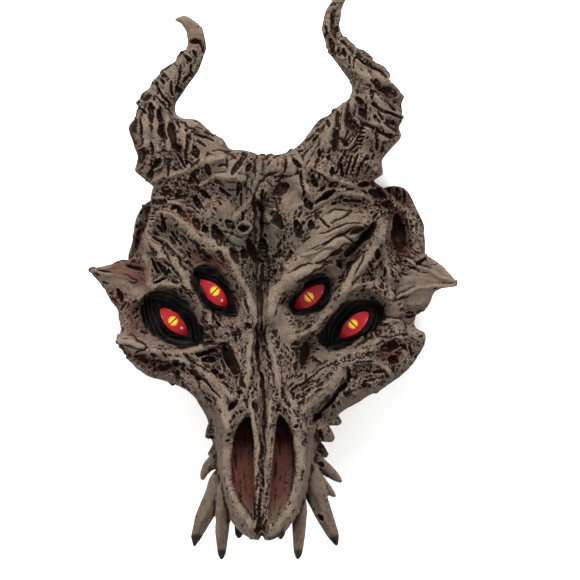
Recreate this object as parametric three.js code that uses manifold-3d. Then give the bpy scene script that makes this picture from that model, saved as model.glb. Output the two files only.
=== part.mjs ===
// Horned demon skull mask, moulded in foam latex, with four glossy eyes set in its sockets.
// Millimetres. The mask lies on its open back: z = 0 is the flat back rim, +Z points out of the
// face and +Y runs from the fangs to the horns. The origin is the middle of the plan, on the rim.

import * as THREE from 'three';
import { mergeVertices } from 'three/addons/utils/BufferGeometryUtils.js';
import Module from 'manifold-3d';

const wasm = await Module();
wasm.setup();

// Driving dimensions
const SPIKE_REACH = 148.8;      // middle to the tip of either side spike
const END_REACH = 229;          // middle to the tip of the taller horn, and to the fang tips
const MIDLINE = -10;            // x of the ridge of the nose
const SKULL = { x: -8, y: 8, halfWidth: 130, halfLength: 108, edge: 30, top: 64, power: 2.2 };
const SNOUT_TOP = 118;          // height of the muzzle over the rim
const MASS_FOOT = 20;           // height that the muzzle and the cheekbones rise from
const SIDE_WALL = 26;           // least height of the side wall
const BLEND = 7;                // softness of the seams between the broad forms
const RELIEF = 1.25;            // strength of all the bones and hollows listed below
const WALL = 5;                 // thickness of the moulding under the face
const WALL_REACH = 9;           // how far sideways the wall keeps that thickness
const EDGE_ROUND = 13;          // radius of the shoulder between face and side wall
const TUCK = { x: -8, y: -30, share: 0.06, height: 32 };
const MUZZLE_TUCK = { share: 0.17, height: 95, from: 90, to: 190 };
const CELL = 5.9;               // size of a facet on the face
const HOLLOW_CELL = 14;         // size of a facet inside
const GAP = 0.3;                // clearance round a set-in eye
const EYE = { halfLength: 16.5, halfWidth: 6.8, radius: 29, depth: 5.5, lid: 1.4 };
const FLAP_TOP = 24;            // height of the ribbed flaps beside the temples
const CLEAR_TOP = 200;          // a level above the whole mask, where every cut starts

// Plan of the skull, from the top of the brow round by the left cheek, the muzzle and the right
const OUTLINE = [
  [-8, 95], [-27, 102], [-62, 91], [-97, 70], [-100, 47], [-108, 22], [-120, -1], [-126, -30],
  [-123, -47], [-127, -51], [-114, -71], [-102, -82], [-87, -86], [-67, -95], [-56, -114],
  [-48, -145], [-43, -179], [-27, -205], [-10, -212], [7, -207], [23, -182], [33, -152],
  [45, -129], [57, -112], [81, -96], [103, -81], [118, -63], [122, -48], [113, -42], [119, -21],
  [123, 19], [119, 39], [98, 60], [77, 77], [45, 93], [14, 98],
];

// Plan of the open back, inside the rim
const HOLLOW = [
  [-10, 74], [-61, 69], [-90, 39], [-109, -5], [-113, -29], [-112, -53], [-100, -69], [-62, -84],
  [-43, -125], [-36, -171], [-25, -188], [-10, -195], [5, -187], [16, -171], [25, -135],
  [50, -98], [98, -71], [108, -56], [110, 10], [98, 46], [45, 74],
];

// Ribbed flaps that stand behind the temples
const FLAP_LEFT = [[-88, 62], [-103, 57], [-111, 45], [-114, 27], [-117, 10], [-98, 4]];
const FLAP_RIGHT = [[80, 62], [90, 70], [105, 69], [114, 54], [121, 34], [102, 30]];

// Broad forms, each along stations of [x, y, half width, height]
const MASSES = [
  { name: 'muzzle', power: 5, stations: [
    [MIDLINE, -54, 44, 82], [-8, -117, 47, SNOUT_TOP - 10], [-7, -152, 45, SNOUT_TOP - 3],
    [-7, -205, 36, SNOUT_TOP]] },
  { name: 'left cheekbone', power: 3, stations: [
    [-119, -57, 24, 50], [-83, -70, 25, 60], [-47, -90, 27, 74]] },
  { name: 'right cheekbone', power: 3, stations: [
    [117, -57, 24, 50], [77, -73, 25, 60], [30, -95, 27, 74]] },
];

// Raised bone and sinew: a line in plan, the half width of its foot and its height
const RIDGES = [
  { name: 'left brow', width: 9, height: 11, line: [
    [-102, 38], [-91, 48], [-77, 45], [-66, 34], [-54, 22], [-42, 18], [-30, 2], [-19, -18], [-14, -38]] },
  { name: 'bone between the left eyes', width: 7, height: 8, line: [
    [-102, 29], [-86, 10], [-72, -5], [-61, -22], [-50, -42]] },
  { name: 'left temple', width: 6, height: 6, line: [[-105, 32], [-102, 11], [-98, -8]] },
  { name: 'lid over the outer left eye', width: 6, height: 5, line: [
    [-112, -24], [-101, -11], [-85, -7], [-69, -14]] },
  { name: 'side of the outer left socket', width: 7, height: 6, line: [
    [-120, -26], [-118, -42], [-110, -54], [-99, -59]] },
  { name: 'left cheek arch', width: 9, height: 8, line: [[-122, -54], [-99, -62], [-70, -63], [-42, -56]] },
  { name: 'left cheek edge', width: 9, height: 8, line: [
    [-112, -72], [-90, -77], [-67, -87], [-48, -102], [-38, -122]] },
  { name: 'left cheek strut', width: 7, height: 5, line: [[-91, -62], [-67, -74], [-46, -90], [-30, -101]] },
  { name: 'left nostril rim', width: 8, height: 7, line: [
    [-42, -101], [-38, -125], [-39, -149], [-35, -173], [-26, -192], [-16, -204]] },
  { name: 'left side of the nose', width: 6, height: 6, line: [
    [-22, -104], [-15, -121], [-14, -149], [-14, -173], [-14, -200]] },
  { name: 'left nose bone', width: 8, height: 5, line: [[-19, -49], [-22, -73], [-22, -97]] },
  { name: 'right nose bone', width: 8, height: 5, line: [[0, -49], [3, -73], [2, -99]] },
  { name: 'right side of the nose', width: 6, height: 5, line: [
    [-2, -104], [-2, -125], [-5, -149], [-6, -173], [-6, -200]] },
  { name: 'right nostril rim', width: 8, height: 7, line: [
    [14, -104], [20, -125], [22, -149], [18, -173], [10, -192], [-3, -204]] },
  { name: 'right brow', width: 10, height: 11, line: [[-5, -38], [2, -16], [19, 2], [42, 13]] },
  { name: 'lower brow plate', width: 9, height: 8, line: [[8, 3], [32, 21], [61, 30]] },
  { name: 'upper brow plate', width: 9, height: 8, line: [[21, 22], [48, 38], [75, 42]] },
  { name: 'bone between the right eyes', width: 7, height: 8, line: [
    [88, 35], [74, 11], [58, -8], [48, -24], [35, -40], [19, -51]] },
  { name: 'right temple', width: 7, height: 6, line: [[87, 36], [91, 16], [98, -2]] },
  { name: 'right temple edge', width: 8, height: 8, line: [
    [80, 74], [99, 56], [112, 42], [115, 27], [116, 10]] },
  { name: 'lid over the outer right eye', width: 7, height: 7, line: [
    [54, -16], [70, -9], [86, -13], [95, -26], [98, -45]] },
  { name: 'right cheek arch', width: 9, height: 8, line: [
    [38, -66], [61, -63], [82, -56], [101, -48], [113, -49]] },
  { name: 'right cheek edge', width: 9, height: 8, line: [
    [107, -72], [86, -84], [62, -95], [45, -110], [30, -123]] },
  { name: 'right cheek strut', width: 7, height: 5, line: [[82, -61], [56, -74], [34, -91], [16, -104]] },
  { name: 'left forehead plate', width: 15, height: 8, line: [[-82, 61], [-58, 74], [-30, 84]] },
  { name: 'left horn collar', width: 7, height: 7, line: [
    [-97, 66], [-82, 73], [-67, 78], [-57, 88], [-43, 90], [-29, 94]] },
  { name: 'right horn collar', width: 7, height: 7, line: [
    [13, 92], [26, 92], [32, 83], [48, 77], [62, 69], [75, 68]] },
  { name: 'fork in the right forehead', width: 7, height: 7, line: [[14, 86], [22, 67], [38, 66], [48, 72]] },
  { name: 'sinew from the crest', width: 9, height: 7, line: [[6, 90], [-10, 75], [-19, 55], [-20, 31]] },
  { name: 'boss on the right forehead', width: 13, height: 6, line: [[-2, 66], [8, 56], [2, 38]] },
];

// Sunk forms: width and depth may be one value or one for each point of the line
const SINKS = [
  { name: 'valley of the forehead', width: [32, 24, 12, 6], depth: [12, 12, 8, 3], line: [
    [MIDLINE, 45], [MIDLINE, 10], [MIDLINE, -21], [MIDLINE, -45]] },
  { name: 'groove of the nose', width: 5, depth: 7, line: [
    [MIDLINE, 59], [MIDLINE, 10], [MIDLINE, -38], [-12, -69], [MIDLINE, -88], [-8, -109], [MIDLINE, -133],
    [MIDLINE, -165], [-11, -204]] },
  { name: 'pit beside the left nose bone', width: 8, depth: 11, line: [[-41, -63], [-35, -74], [-30, -84]] },
  { name: 'pit beside the right nose bone', width: 8, depth: 10, line: [[24, -62], [21, -74]] },
  { name: 'left cheek hollow', width: 7, depth: 6, line: [[-99, -70], [-77, -75]] },
  { name: 'right cheek hollow', width: 6, depth: 8, line: [[58, -77], [53, -90], [42, -103], [31, -115]] },
  { name: 'right temple hollow', width: 12, depth: 12, line: [[101, 44], [99, 20]] },
  { name: 'left temple hollow', width: 8, depth: 6, line: [[-111, 5], [-108, -6]] },
];

// Nostrils: the plan of each long opening, cut down to a sloping floor
const NOSTRIL_FLOOR = { height: 96, slope: 0.42, y: -155 };
const NOSTRILS = [
  [[-19, -112], [-16, -128], [-16, -150], [-15, -172], [-14, -196], [-20, -193], [-28, -180], [-34, -165],
    [-35, -148], [-32, -130], [-26, -117]],
  [[4, -111], [12, -120], [17, -135], [18, -152], [15, -170], [8, -186], [-1, -197], [-4, -190], [-3, -172],
    [-1, -150], [1, -128]],
];

// Eye sockets: middle, half length, half width and turn of the socket; the eye in it has a middle,
// a turn and the height of its dome
const SOCKETS = [
  { name: 'eye_outer_left', x: -81, y: -37, long: 34, wide: 22, turn: -30, depth: 11,
    eye: { x: -80.5, y: -38, turn: -45, top: 43 } },
  { name: 'eye_inner_left', x: -48, y: -14, long: 25, wide: 16, turn: -45, depth: 11,
    eye: { x: -48, y: -15.5, turn: -44, top: 56 } },
  { name: 'eye_inner_right', x: 29, y: -16, long: 24, wide: 15, turn: 42, depth: 11,
    eye: { x: 28.5, y: -18.5, turn: 39, top: 56 } },
  { name: 'eye_outer_right', x: 63, y: -40, long: 34, wide: 21, turn: 33, depth: 11,
    eye: { x: 64.5, y: -40.5, turn: 42, top: 43 } },
];

// Horns: stations of [x, y, z, radius]; the root is wide and flat, the tip round. The scales that
// ring a horn crowd towards its tip, swell to a lip, and stand out most on its outer side
const HORN_ROOT_FLATNESS = 0.6;
const SCALE = { lip: 0.012, crowding: 0.85, swell: 0.36, inner: 0.55, lastRing: 0.975 };
const HORNS = [
  { outer: -1, scales: 10, stations: [
    [-46, 52, 30, 20], [-56, 70, 36, 30], [-67, 84, 40, 35.5], [-77.5, 96, 43, 34.5], [-87, 106, 45, 29.5],
    [-93.5, 116, 46, 23], [-95.5, 126, 47, 17.5], [-93, 136, 48, 14.4], [-87, 146, 50, 12.6],
    [-78, 156, 52, 11.8], [-69, 166, 54, 10.4],
    [-63, 175, 56, 9], [-61.5, 184, 58, 8], [-63, 193, 60, 7], [-68, 200, 62, 5.6], [-74, 203, 63, 3.2],
    [-80, 202.4, 64, 0.8]] },
  { outer: 1, scales: 11, stations: [
    [30, 48, 30, 20], [36, 66, 36, 29], [44, 83, 40, 33.5], [55, 97, 43, 33], [65.5, 109, 45, 30],
    [74, 121, 46, 26.5], [79.5, 134, 47, 22.5], [80, 146, 48, 17.5], [74, 157, 50, 14], [65.5, 167, 52, 12.2],
    [56, 176, 54, 11],
    [48.5, 185, 56, 9], [45.6, 195, 58, 8], [46.4, 205, 60, 7], [50, 215, 62, 5.6], [56, 223, 63, 3.6],
    [64.8, END_REACH - 0.8, 64, 0.8]] },
];

// Flat thorns on the sides: stations of [x, y, z, radius]
const SPIKE_FLATNESS = 0.55;
const SPIKES = [
  [[-104, -11, 27, 28], [-116, -8.5, 28, 24.5], [-124, -5.5, 29, 19], [-131, -2.5, 30, 13],
    [-138, 0, 32, 8], [-144, 1.6, 33, 4.4], [-SPIKE_REACH + 0.6, 2.4, 34, 1.4]],
  [[104, -7, 27, 29], [115, -5, 28, 26], [123, -2.5, 29, 20.5], [130, -2.5, 30, 13.5], [137, -4.5, 32, 8],
    [143, -7, 33, 4.8], [SPIKE_REACH - 0.6, -8.8, 34, 1.6]],
  [[-85, -74, 30, 8], [-83, -82, 30, 6], [-81.6, -88, 30, 3.6], [-80.8, -92, 30, 1.2]],
  [[-112, -54, 32, 9], [-121, -52, 32, 6], [-127, -50.5, 32, 3]],
];

// Fangs and side teeth: stations of [x, y, z, radius]
const FANG_FLOOR = -END_REACH + 1;
const FANGS = [
  [[-41, -163, 66, 10.5], [-47, -177, 68, 9.8], [-53.5, -189, 68, 8.8], [-59.5, -202, 66, 6.8],
    [-63, -213, 62, 4.2], [-63.4, -217.5, 60, 1.6]],
  [[-36, -168, 80, 8.5], [-39.6, -184, 82, 7.6], [-41, -200, 81, 6.6], [-41.4, -215, 77, 5.4],
    [-41.6, -224, 74, 3.8], [-41.6, FANG_FLOOR, 72, 1.6]],
  [[-23, -186, 74, 7], [-26, -197, 74, 6], [-27.8, -206, 72, 4.6], [-28, -211, 70, 1.8]],
  [[3, -186, 74, 7], [5, -197, 74, 6], [5.6, -206, 72, 4.6], [5.2, -212, 70, 1.8]],
  [[17, -168, 80, 8.5], [20, -184, 82, 7.6], [20, -200, 81, 6.6], [19.6, -215, 77, 5.2],
    [19.2, -224, 74, 3.8], [19, FANG_FLOOR, 72, 1.6]],
  [[26, -156, 66, 11], [31, -170, 68, 10.4], [36.5, -184, 68, 9], [43, -199, 66, 7.2],
    [48.5, -211, 62, 5.2], [50.5, -217.5, 60, 1.8]],
];
const SIDE_TEETH = [
  [[-42, -117, 54, 9], [-49, -125, 52, 7], [-55, -131.5, 50, 2]],
  [[-40, -134, 58, 8], [-47, -141, 57, 5.4], [-53, -145, 56, 1.8]],
  [[-40, -144, 64, 8], [-50, -151, 63, 6], [-55, -157, 62, 4.6], [-57.6, -165, 60, 1.4]],
  [[-40, -158, 50, 7], [-48, -166, 49, 5.4], [-53.6, -173, 48, 1.8]],
  [[38, -110, 52, 9], [47, -116, 50, 7], [54, -120, 48, 2.8]],
  [[30, -120, 60, 10], [41, -128, 58, 8], [48, -133, 56, 3]],
  [[26, -134, 46, 9], [36, -141, 45, 7], [43, -146, 44, 2.4]],
  [[28, -145, 56, 8], [40, -155, 53, 6.4], [49, -162, 50, 4.6], [54.6, -167, 48, 1.6]],
  [[28, -156, 66, 7], [38, -167, 64, 5.6], [44, -173, 62, 4.4], [49.5, -178.5, 60, 1.6]],
];

const latex = new THREE.MeshStandardMaterial({ color: 0x857863, roughness: 0.85, metalness: 0 });
const glossyRed = new THREE.MeshStandardMaterial({ color: 0xb01822, roughness: 0.12, metalness: 0 });

// A closed solid made from a three.js geometry
function solid(geometry) {
  const bare = geometry.index ? geometry.toNonIndexed() : geometry.clone();
  for (const name of Object.keys(bare.attributes)) {
    if (name !== 'position') bare.deleteAttribute(name);
  }
  const merged = mergeVertices(bare, 1e-4);
  return new wasm.Manifold(new wasm.Mesh({
    numProp: 3,
    vertProperties: new Float32Array(merged.attributes.position.array),
    triVerts: new Uint32Array(merged.index.array),
  }));
}

// The geometry of a finished solid
function geometryOf(body) {
  const mesh = body.getMesh();
  const geometry = new THREE.BufferGeometry();
  const stride = mesh.numProp;
  const positions = new Float32Array(mesh.numVert * 3);
  for (let i = 0; i < mesh.numVert; i += 1) {
    for (let k = 0; k < 3; k += 1) positions[3 * i + k] = mesh.vertProperties[stride * i + k];
  }
  geometry.setAttribute('position', new THREE.BufferAttribute(positions, 3));
  geometry.setIndex(new THREE.BufferAttribute(new Uint32Array(mesh.triVerts), 1));
  return geometry;
}

// Move every vertex of a geometry in place
function reshape(geometry, move) {
  const position = geometry.attributes.position;
  const point = new THREE.Vector3();
  for (let i = 0; i < position.count; i += 1) {
    point.fromBufferAttribute(position, i);
    move(point);
    position.setXYZ(i, point.x, point.y, point.z);
  }
  return geometry;
}

// A smooth closed plan through points given as [x, y]
function plan(points, divisions) {
  const knots = points.map(([x, y]) => new THREE.Vector3(x, y, 0));
  const curve = new THREE.CatmullRomCurve3(knots, true, 'centripetal');
  return curve.getPoints(divisions).slice(0, divisions).map((p) => new THREE.Vector2(p.x, p.y));
}

// A prism over a plan, from z = bottom to z = top
function prism(points, bottom, top) {
  const shape = new THREE.Shape(points);
  const geometry = new THREE.ExtrudeGeometry(shape, { depth: top - bottom, bevelEnabled: false });
  return geometry.translate(0, 0, bottom);
}

// One value, or the value at a place 0..1 along a list of values
function valueAlong(value, place) {
  if (!Array.isArray(value)) return value;
  const last = value.length - 1;
  const step = Math.min(Math.floor(place * last), last - 1);
  return THREE.MathUtils.lerp(value[step], value[step + 1], place * last - step);
}

// The distance from (x, y) to a line of points, and the place 0..1 along it that is nearest
function nearest(line, x, y) {
  const best = { distance: Infinity, place: 0 };
  for (let i = 0; i < line.length - 1; i += 1) {
    const [ax, ay] = line[i];
    const [bx, by] = line[i + 1];
    const dx = bx - ax;
    const dy = by - ay;
    const along = THREE.MathUtils.clamp(((x - ax) * dx + (y - ay) * dy) / (dx * dx + dy * dy), 0, 1);
    const distance = Math.hypot(x - ax - along * dx, y - ay - along * dy);
    if (distance < best.distance) {
      best.distance = distance;
      best.place = (i + along) / (line.length - 1);
    }
  }
  return best;
}

const softMax = (a, b) => 0.5 * (a + b + Math.hypot(a - b, BLEND));
const roundBump = (t) => (t < 1 ? (1 - t * t) ** 2 : 0);
const radians = THREE.MathUtils.degToRad;

// The place of (x, y) in a frame at (cx, cy) turned by so many degrees
function turned(x, y, cx, cy, degrees) {
  const c = Math.cos(radians(degrees));
  const s = Math.sin(radians(degrees));
  return [(x - cx) * c + (y - cy) * s, (y - cy) * c - (x - cx) * s];
}

// The broad shape of the face: the skull's dome with the muzzle and cheekbones blended in
function broadHeight(x, y) {
  const across = Math.hypot((x - SKULL.x) / SKULL.halfWidth, (y - SKULL.y) / SKULL.halfLength);
  const fall = Math.min(across, 1.3) ** SKULL.power;
  let height = softMax(SKULL.edge + (SKULL.top - SKULL.edge) * (1 - fall), SIDE_WALL);
  for (const mass of MASSES) {
    const { distance, place } = nearest(mass.stations, x, y);
    const halfWidth = valueAlong(mass.stations.map((s) => s[2]), place);
    const top = valueAlong(mass.stations.map((s) => s[3]), place);
    const t = Math.min(distance / halfWidth, 1.25);
    height = softMax(height, MASS_FOOT + (top - MASS_FOOT) * (1 - t ** mass.power));
  }
  return height;
}

// Fall of a dome of the eye's radius, so far from its middle
function domeFall(distance) {
  return EYE.radius - Math.sqrt(Math.max(EYE.radius ** 2 - distance ** 2, 0));
}

const outlinePoints = plan(OUTLINE, 84);
const outlineLine = [...outlinePoints, outlinePoints[0]].map((p) => [p.x, p.y]);

const nostrilPlans = NOSTRILS.map((points) => plan(points, 26));
const nostrilFloor = (y) => NOSTRIL_FLOOR.height - NOSTRIL_FLOOR.slope * (y - NOSTRIL_FLOOR.y);

// The face's height over the rim, with its bones, sinews, sockets and nostrils
function faceHeight(x, y) {
  let height = broadHeight(x, y);
  for (const ridge of RIDGES) {
    const { distance } = nearest(ridge.line, x, y);
    height += RELIEF * ridge.height * roundBump(distance / ridge.width);
  }
  for (const sink of SINKS) {
    const { distance, place } = nearest(sink.line, x, y);
    height -= RELIEF * valueAlong(sink.depth, place) * roundBump(distance / valueAlong(sink.width, place));
  }
  for (const socket of SOCKETS) {
    const [u, v] = turned(x, y, socket.x, socket.y, socket.turn);
    const t = Math.hypot(u / socket.long, v / socket.wide);
    if (t < 1) {
      height -= socket.depth * (1 - t ** 4);
      const lids = socket.eye.top + EYE.lid - domeFall(Math.hypot(x - socket.eye.x, y - socket.eye.y));
      height = Math.max(height, lids);
    }
  }
  const inset = nearest(outlineLine, x, y).distance;
  if (inset < EDGE_ROUND) height -= EDGE_ROUND - Math.sqrt(EDGE_ROUND ** 2 - (EDGE_ROUND - inset) ** 2);
  return height;
}

// The lowest height of the face round (x, y), less the wall: the hollow's ceiling
function hollowHeight(x, y) {
  let lowest = faceHeight(x, y);
  for (let turn = 0; turn < 360; turn += 45) {
    for (const reach of [WALL_REACH / 2, WALL_REACH]) {
      const dx = reach * Math.cos(radians(turn));
      const dy = reach * Math.sin(radians(turn));
      lowest = Math.min(lowest, faceHeight(x + dx, y + dy));
    }
  }
  for (const { eye } of SOCKETS) {
    const seat = eye.top - EYE.depth;
    if (Math.hypot(x - eye.x, y - eye.y) < EYE.halfLength + WALL_REACH) lowest = Math.min(lowest, seat);
  }
  for (const opening of nostrilPlans) {
    const line = opening.map((p) => [p.x, p.y]);
    if (nearest(line, x, y).distance < 2 * WALL_REACH) lowest = Math.min(lowest, nostrilFloor(y));
  }
  return lowest - WALL;
}

// The side walls lean in towards the rim, most of all under the muzzle
function tuckUnder(point) {
  const muzzle = THREE.MathUtils.smoothstep(-point.y, MUZZLE_TUCK.from, MUZZLE_TUCK.to);
  const share = THREE.MathUtils.lerp(TUCK.share, MUZZLE_TUCK.share, muzzle);
  const height = THREE.MathUtils.lerp(TUCK.height, MUZZLE_TUCK.height, muzzle);
  const low = Math.max(1 - point.z / height, 0);
  const scale = 1 - share * low * low;
  point.x = TUCK.x + (point.x - TUCK.x) * scale;
  point.y = TUCK.y + (point.y - TUCK.y) * scale;
}

// Turn the edge that each pair of facets shares to the way that follows the form better
function followForm(grid, heightAt) {
  const index = grid.index.array;
  const corner = (i) => new THREE.Vector3().fromBufferAttribute(grid.attributes.position, i);
  for (let i = 0; i < index.length; i += 6) {
    const [a, b, , , c, d] = index.slice(i, i + 6);
    const [pa, pb, pc, pd] = [a, b, c, d].map(corner);
    const middle = pa.clone().add(pc).multiplyScalar(0.5);
    const truth = heightAt(middle.x, middle.y);
    const error = Math.abs(truth - middle.z) - Math.abs(truth - (pb.z + pd.z) / 2);
    if (error < 0) index.set([a, b, c, a, c, d], i);
  }
}

// A block under a height field, cut to a plan and leaning in at its sides
function block(points, cell, bottom, heightAt) {
  const bounds = new THREE.Box2().setFromPoints(points).expandByScalar(cell);
  const size = bounds.getSize(new THREE.Vector2());
  const middle = bounds.getCenter(new THREE.Vector2());
  const columns = Math.round(size.x / cell);
  const rows = Math.round(size.y / cell);
  const grid = new THREE.BoxGeometry(size.x, size.y, 2, columns, rows, 1);
  reshape(grid.translate(middle.x, middle.y, 0), (p) => {
    p.z = p.z > 0 ? heightAt(p.x, p.y) : bottom - cell;
  });
  followForm(grid, heightAt);
  const trimmed = solid(grid).intersect(solid(prism(points, bottom, CLEAR_TOP)));
  return solid(reshape(geometryOf(trimmed), tuckUnder));
}

// A tapered body along a curved line, its section flattened towards the floor
function limb(stations, { sides, rings, flatAt, swell = () => 1 }) {
  const knots = stations.map(([x, y, z]) => new THREE.Vector3(x, y, z));
  const curve = new THREE.CatmullRomCurve3(knots, false, 'centripetal');
  const radii = stations.map((station) => station[3]);
  const profile = [new THREE.Vector2(0, 0)];
  for (const place of rings) profile.push(new THREE.Vector2(valueAlong(radii, place), place));
  profile.push(new THREE.Vector2(0, 1));
  const up = new THREE.Vector3(0, 0, 1);
  const geometry = mergeBare(new THREE.LatheGeometry(profile, sides));
  reshape(geometry, (p) => {
    const place = THREE.MathUtils.clamp(p.y, 0, 1);
    const tangent = curve.getTangent(place);
    const side = new THREE.Vector3().crossVectors(tangent, up).normalize();
    const lift = new THREE.Vector3().crossVectors(side, tangent);
    const radius = Math.hypot(p.x, p.z);
    const outward = radius > 0 ? p.x / radius : 0;
    const scale = swell(place, outward);
    const across = side.multiplyScalar(p.x * scale);
    const above = lift.multiplyScalar(p.z * scale * flatAt(place));
    p.copy(curve.getPoint(place)).add(across).add(above);
  });
  return solid(geometry);
}

// A geometry with only its positions, shared vertices merged
function mergeBare(geometry) {
  geometry.deleteAttribute('normal');
  geometry.deleteAttribute('uv');
  return mergeVertices(geometry, 1e-4);
}

// Evenly spaced places 0..1, both ends included
const evenly = (count) => Array.from({ length: count + 1 }, (_, i) => i / count);

// A horn ringed with overlapping scales, whose outer edges stand out like saw teeth
function horn({ outer, scales, stations }) {
  const rings = [0];
  for (let i = 1; i < scales; i += 1) {
    const place = (i / scales) ** SCALE.crowding;
    rings.push(place - SCALE.lip, place + SCALE.lip);
  }
  rings.push(SCALE.lastRing, 1);
  const swell = (place, outward) => {
    const phase = scales * place ** (1 / SCALE.crowding);
    const growth = phase - Math.floor(phase);
    return 1 + SCALE.swell * (growth - 0.4) * Math.max(outward * outer, SCALE.inner) * (1 - place / 2);
  };
  const flatAt = (place) => THREE.MathUtils.lerp(HORN_ROOT_FLATNESS, 1, Math.min(place * 2, 1));
  return limb(stations, { sides: 12, rings, flatAt, swell });
}

const spike = (stations) => limb(stations, { sides: 8, rings: evenly(6), flatAt: () => SPIKE_FLATNESS });
const tooth = (stations) => limb(stations, { sides: 6, rings: evenly(4), flatAt: () => 0.9 });

// An almond plan, its long axis turned by so many degrees
function almond(x, y, turn, grow) {
  const a = EYE.halfLength + grow;
  const b = 2 * (EYE.halfWidth + grow);
  const shape = new THREE.Shape();
  shape.moveTo(-a, 0);
  shape.quadraticCurveTo(0, -b, a, 0);
  shape.quadraticCurveTo(0, b, -a, 0);
  const geometry = new THREE.ExtrudeGeometry(shape, { depth: 1, bevelEnabled: false, curveSegments: 6 });
  return geometry.rotateZ(radians(turn)).translate(x, y, 0);
}

// An eye: an almond slice of a domed cabochon, and the seat cut for it
function eyeSolid({ x, y, turn, top }) {
  const slice = almond(x, y, turn, 0).scale(1, 1, EYE.depth + 2).translate(0, 0, top - EYE.depth);
  const dome = new THREE.SphereGeometry(EYE.radius, 24, 16).rotateX(Math.PI / 2);
  return solid(slice).intersect(solid(dome.translate(x, y, top - EYE.radius)));
}
function seatSolid({ x, y, turn, top }) {
  return solid(almond(x, y, turn, GAP).scale(1, 1, CLEAR_TOP).translate(0, 0, top - EYE.depth - GAP));
}

// A nostril's cut, its floor sloping with the muzzle
function nostrilCut(opening) {
  const cut = prism(opening, 0, CLEAR_TOP);
  return solid(reshape(cut, (p) => {
    if (p.z < 1) p.z = nostrilFloor(p.y);
  }));
}

function maskShell() {
  let shell = block(outlinePoints, CELL, 0, faceHeight);
  shell = shell.add(solid(prism(plan(FLAP_LEFT, 24), 0, FLAP_TOP)));
  shell = shell.add(solid(prism(plan(FLAP_RIGHT, 24), 0, FLAP_TOP)));
  for (const stations of SPIKES) shell = shell.add(spike(stations));
  for (const stations of [...FANGS, ...SIDE_TEETH]) shell = shell.add(tooth(stations));
  for (const form of HORNS) shell = shell.add(horn(form));
  shell = shell.subtract(block(plan(HOLLOW, 42), HOLLOW_CELL, -HOLLOW_CELL, hollowHeight));
  for (const { eye } of SOCKETS) shell = shell.subtract(seatSolid(eye));
  for (const opening of nostrilPlans) shell = shell.subtract(nostrilCut(opening));
  return shell;
}

// A named mesh of one finished solid
function piece(name, body, material) {
  const mesh = new THREE.Mesh(geometryOf(body), material);
  mesh.name = name;
  return mesh;
}

const mask = new THREE.Group();
mask.add(piece('mask_shell', maskShell(), latex));
for (const { name, eye } of SOCKETS) mask.add(piece(name, eyeSolid(eye), glossyRed));

export default mask;
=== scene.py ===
# Horned demon skull mask of painted foam latex, lying on its open back, with four glossy eyes.
import math

import bmesh
import bpy
import numpy as np
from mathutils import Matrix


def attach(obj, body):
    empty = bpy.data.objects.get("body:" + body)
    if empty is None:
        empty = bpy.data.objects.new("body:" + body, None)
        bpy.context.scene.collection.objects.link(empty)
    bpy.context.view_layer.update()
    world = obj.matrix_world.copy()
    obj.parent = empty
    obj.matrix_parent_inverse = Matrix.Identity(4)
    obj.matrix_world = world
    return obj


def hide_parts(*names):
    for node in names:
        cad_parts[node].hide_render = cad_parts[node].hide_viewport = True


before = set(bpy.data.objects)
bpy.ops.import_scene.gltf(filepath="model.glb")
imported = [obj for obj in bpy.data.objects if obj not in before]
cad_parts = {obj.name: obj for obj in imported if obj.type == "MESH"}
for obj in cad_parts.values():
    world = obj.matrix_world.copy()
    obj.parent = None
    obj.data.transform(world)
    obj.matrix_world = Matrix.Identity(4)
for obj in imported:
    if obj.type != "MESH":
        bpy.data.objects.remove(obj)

bl_info = {
    "name": "Demon skull mask",
    "version": (1, 0, 0),
    "blender": (4, 5, 0),
    "location": "View3D > Sidebar > Mask",
    "description": "Builds the painted skin and the glossy eyes of a horned skull mask on its CAD frame",
    "category": "Add Mesh",
}

# The mask is worked out in millimetres, with its flat back rim at z = 0 and the face up
MM = 0.001
PLAN_SIZE = (306, 466)          # plan that the relief is drawn over, with the origin in its middle
DRAW_STEP = 0.4                 # distance between two points of the drawing
NOSTRIL_FLOOR = 76              # height over the rim under which nothing of a nostril shows
NOSTRIL_LINING = (60, 66)       # heights between which the raw lining of the nostrils begins
NOSTRIL_ENDS = (-198, -172)     # places along Y between which the raw lining begins
THROAT = (-128, -112)           # places along Y between which the nostrils darken to black
CHIN_X = -9.4                   # middle of the small notch in the chin
CHIN_FOLD = (188, 197)          # distances down the muzzle between which the chin's fold begins
CHIN_EDGE = (203, 210)          # distances down the muzzle between which the notch begins
FISSURE_FADES = (95, 115)       # distances down the muzzle between which the fissure grows shallow
HORN_FOOT = (100, 116)          # places along Y between which the furrows of the horns begin
TEETH_FROM = (118, 175)         # distances down the muzzle between which the teeth are smooth
SOCKET_FLOOR = (20, 30)         # heights between which the black of the lids begins
HOLLOW_AXIS = -8                # middle of the open back, along X
HOLLOW_MIDDLE = -40             # middle of the open back, along Y

# An eye: half the length and width of its almond, the radius of its dome, and its thickness
EYE = {"half_length": 16.5, "half_width": 6.8, "radius": 29, "depth": 5.5}

# The side walls lean in by this share at the rim, towards a middle, and stand straight at a height.
# They lean more down the muzzle.
TUCK = {"x": -8, "y": -30, "share": 0.06, "height": 32}
MUZZLE_TUCK = {"share": 0.17, "height": 95, "from": 90, "to": 190}

# How often the points of each part are moved half way to the middle of their neighbours
ROUNDS = {"everywhere": 3, "face": 8, "horn_roots": 60, "back": 20, "lips": 14, "creases": 8}

# The holes of a wall: its height, stretched, is laid over the plan from one of these places on
WALL = {"stretch": 1.3, "from_x": -90, "from_y": -150}

# The oval of the face, in which the facets of the CAD shell are rounded off the most
FACE_OVAL = {"x": -8, "y": -20, "half_width": 118, "half_length": 140}

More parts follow.
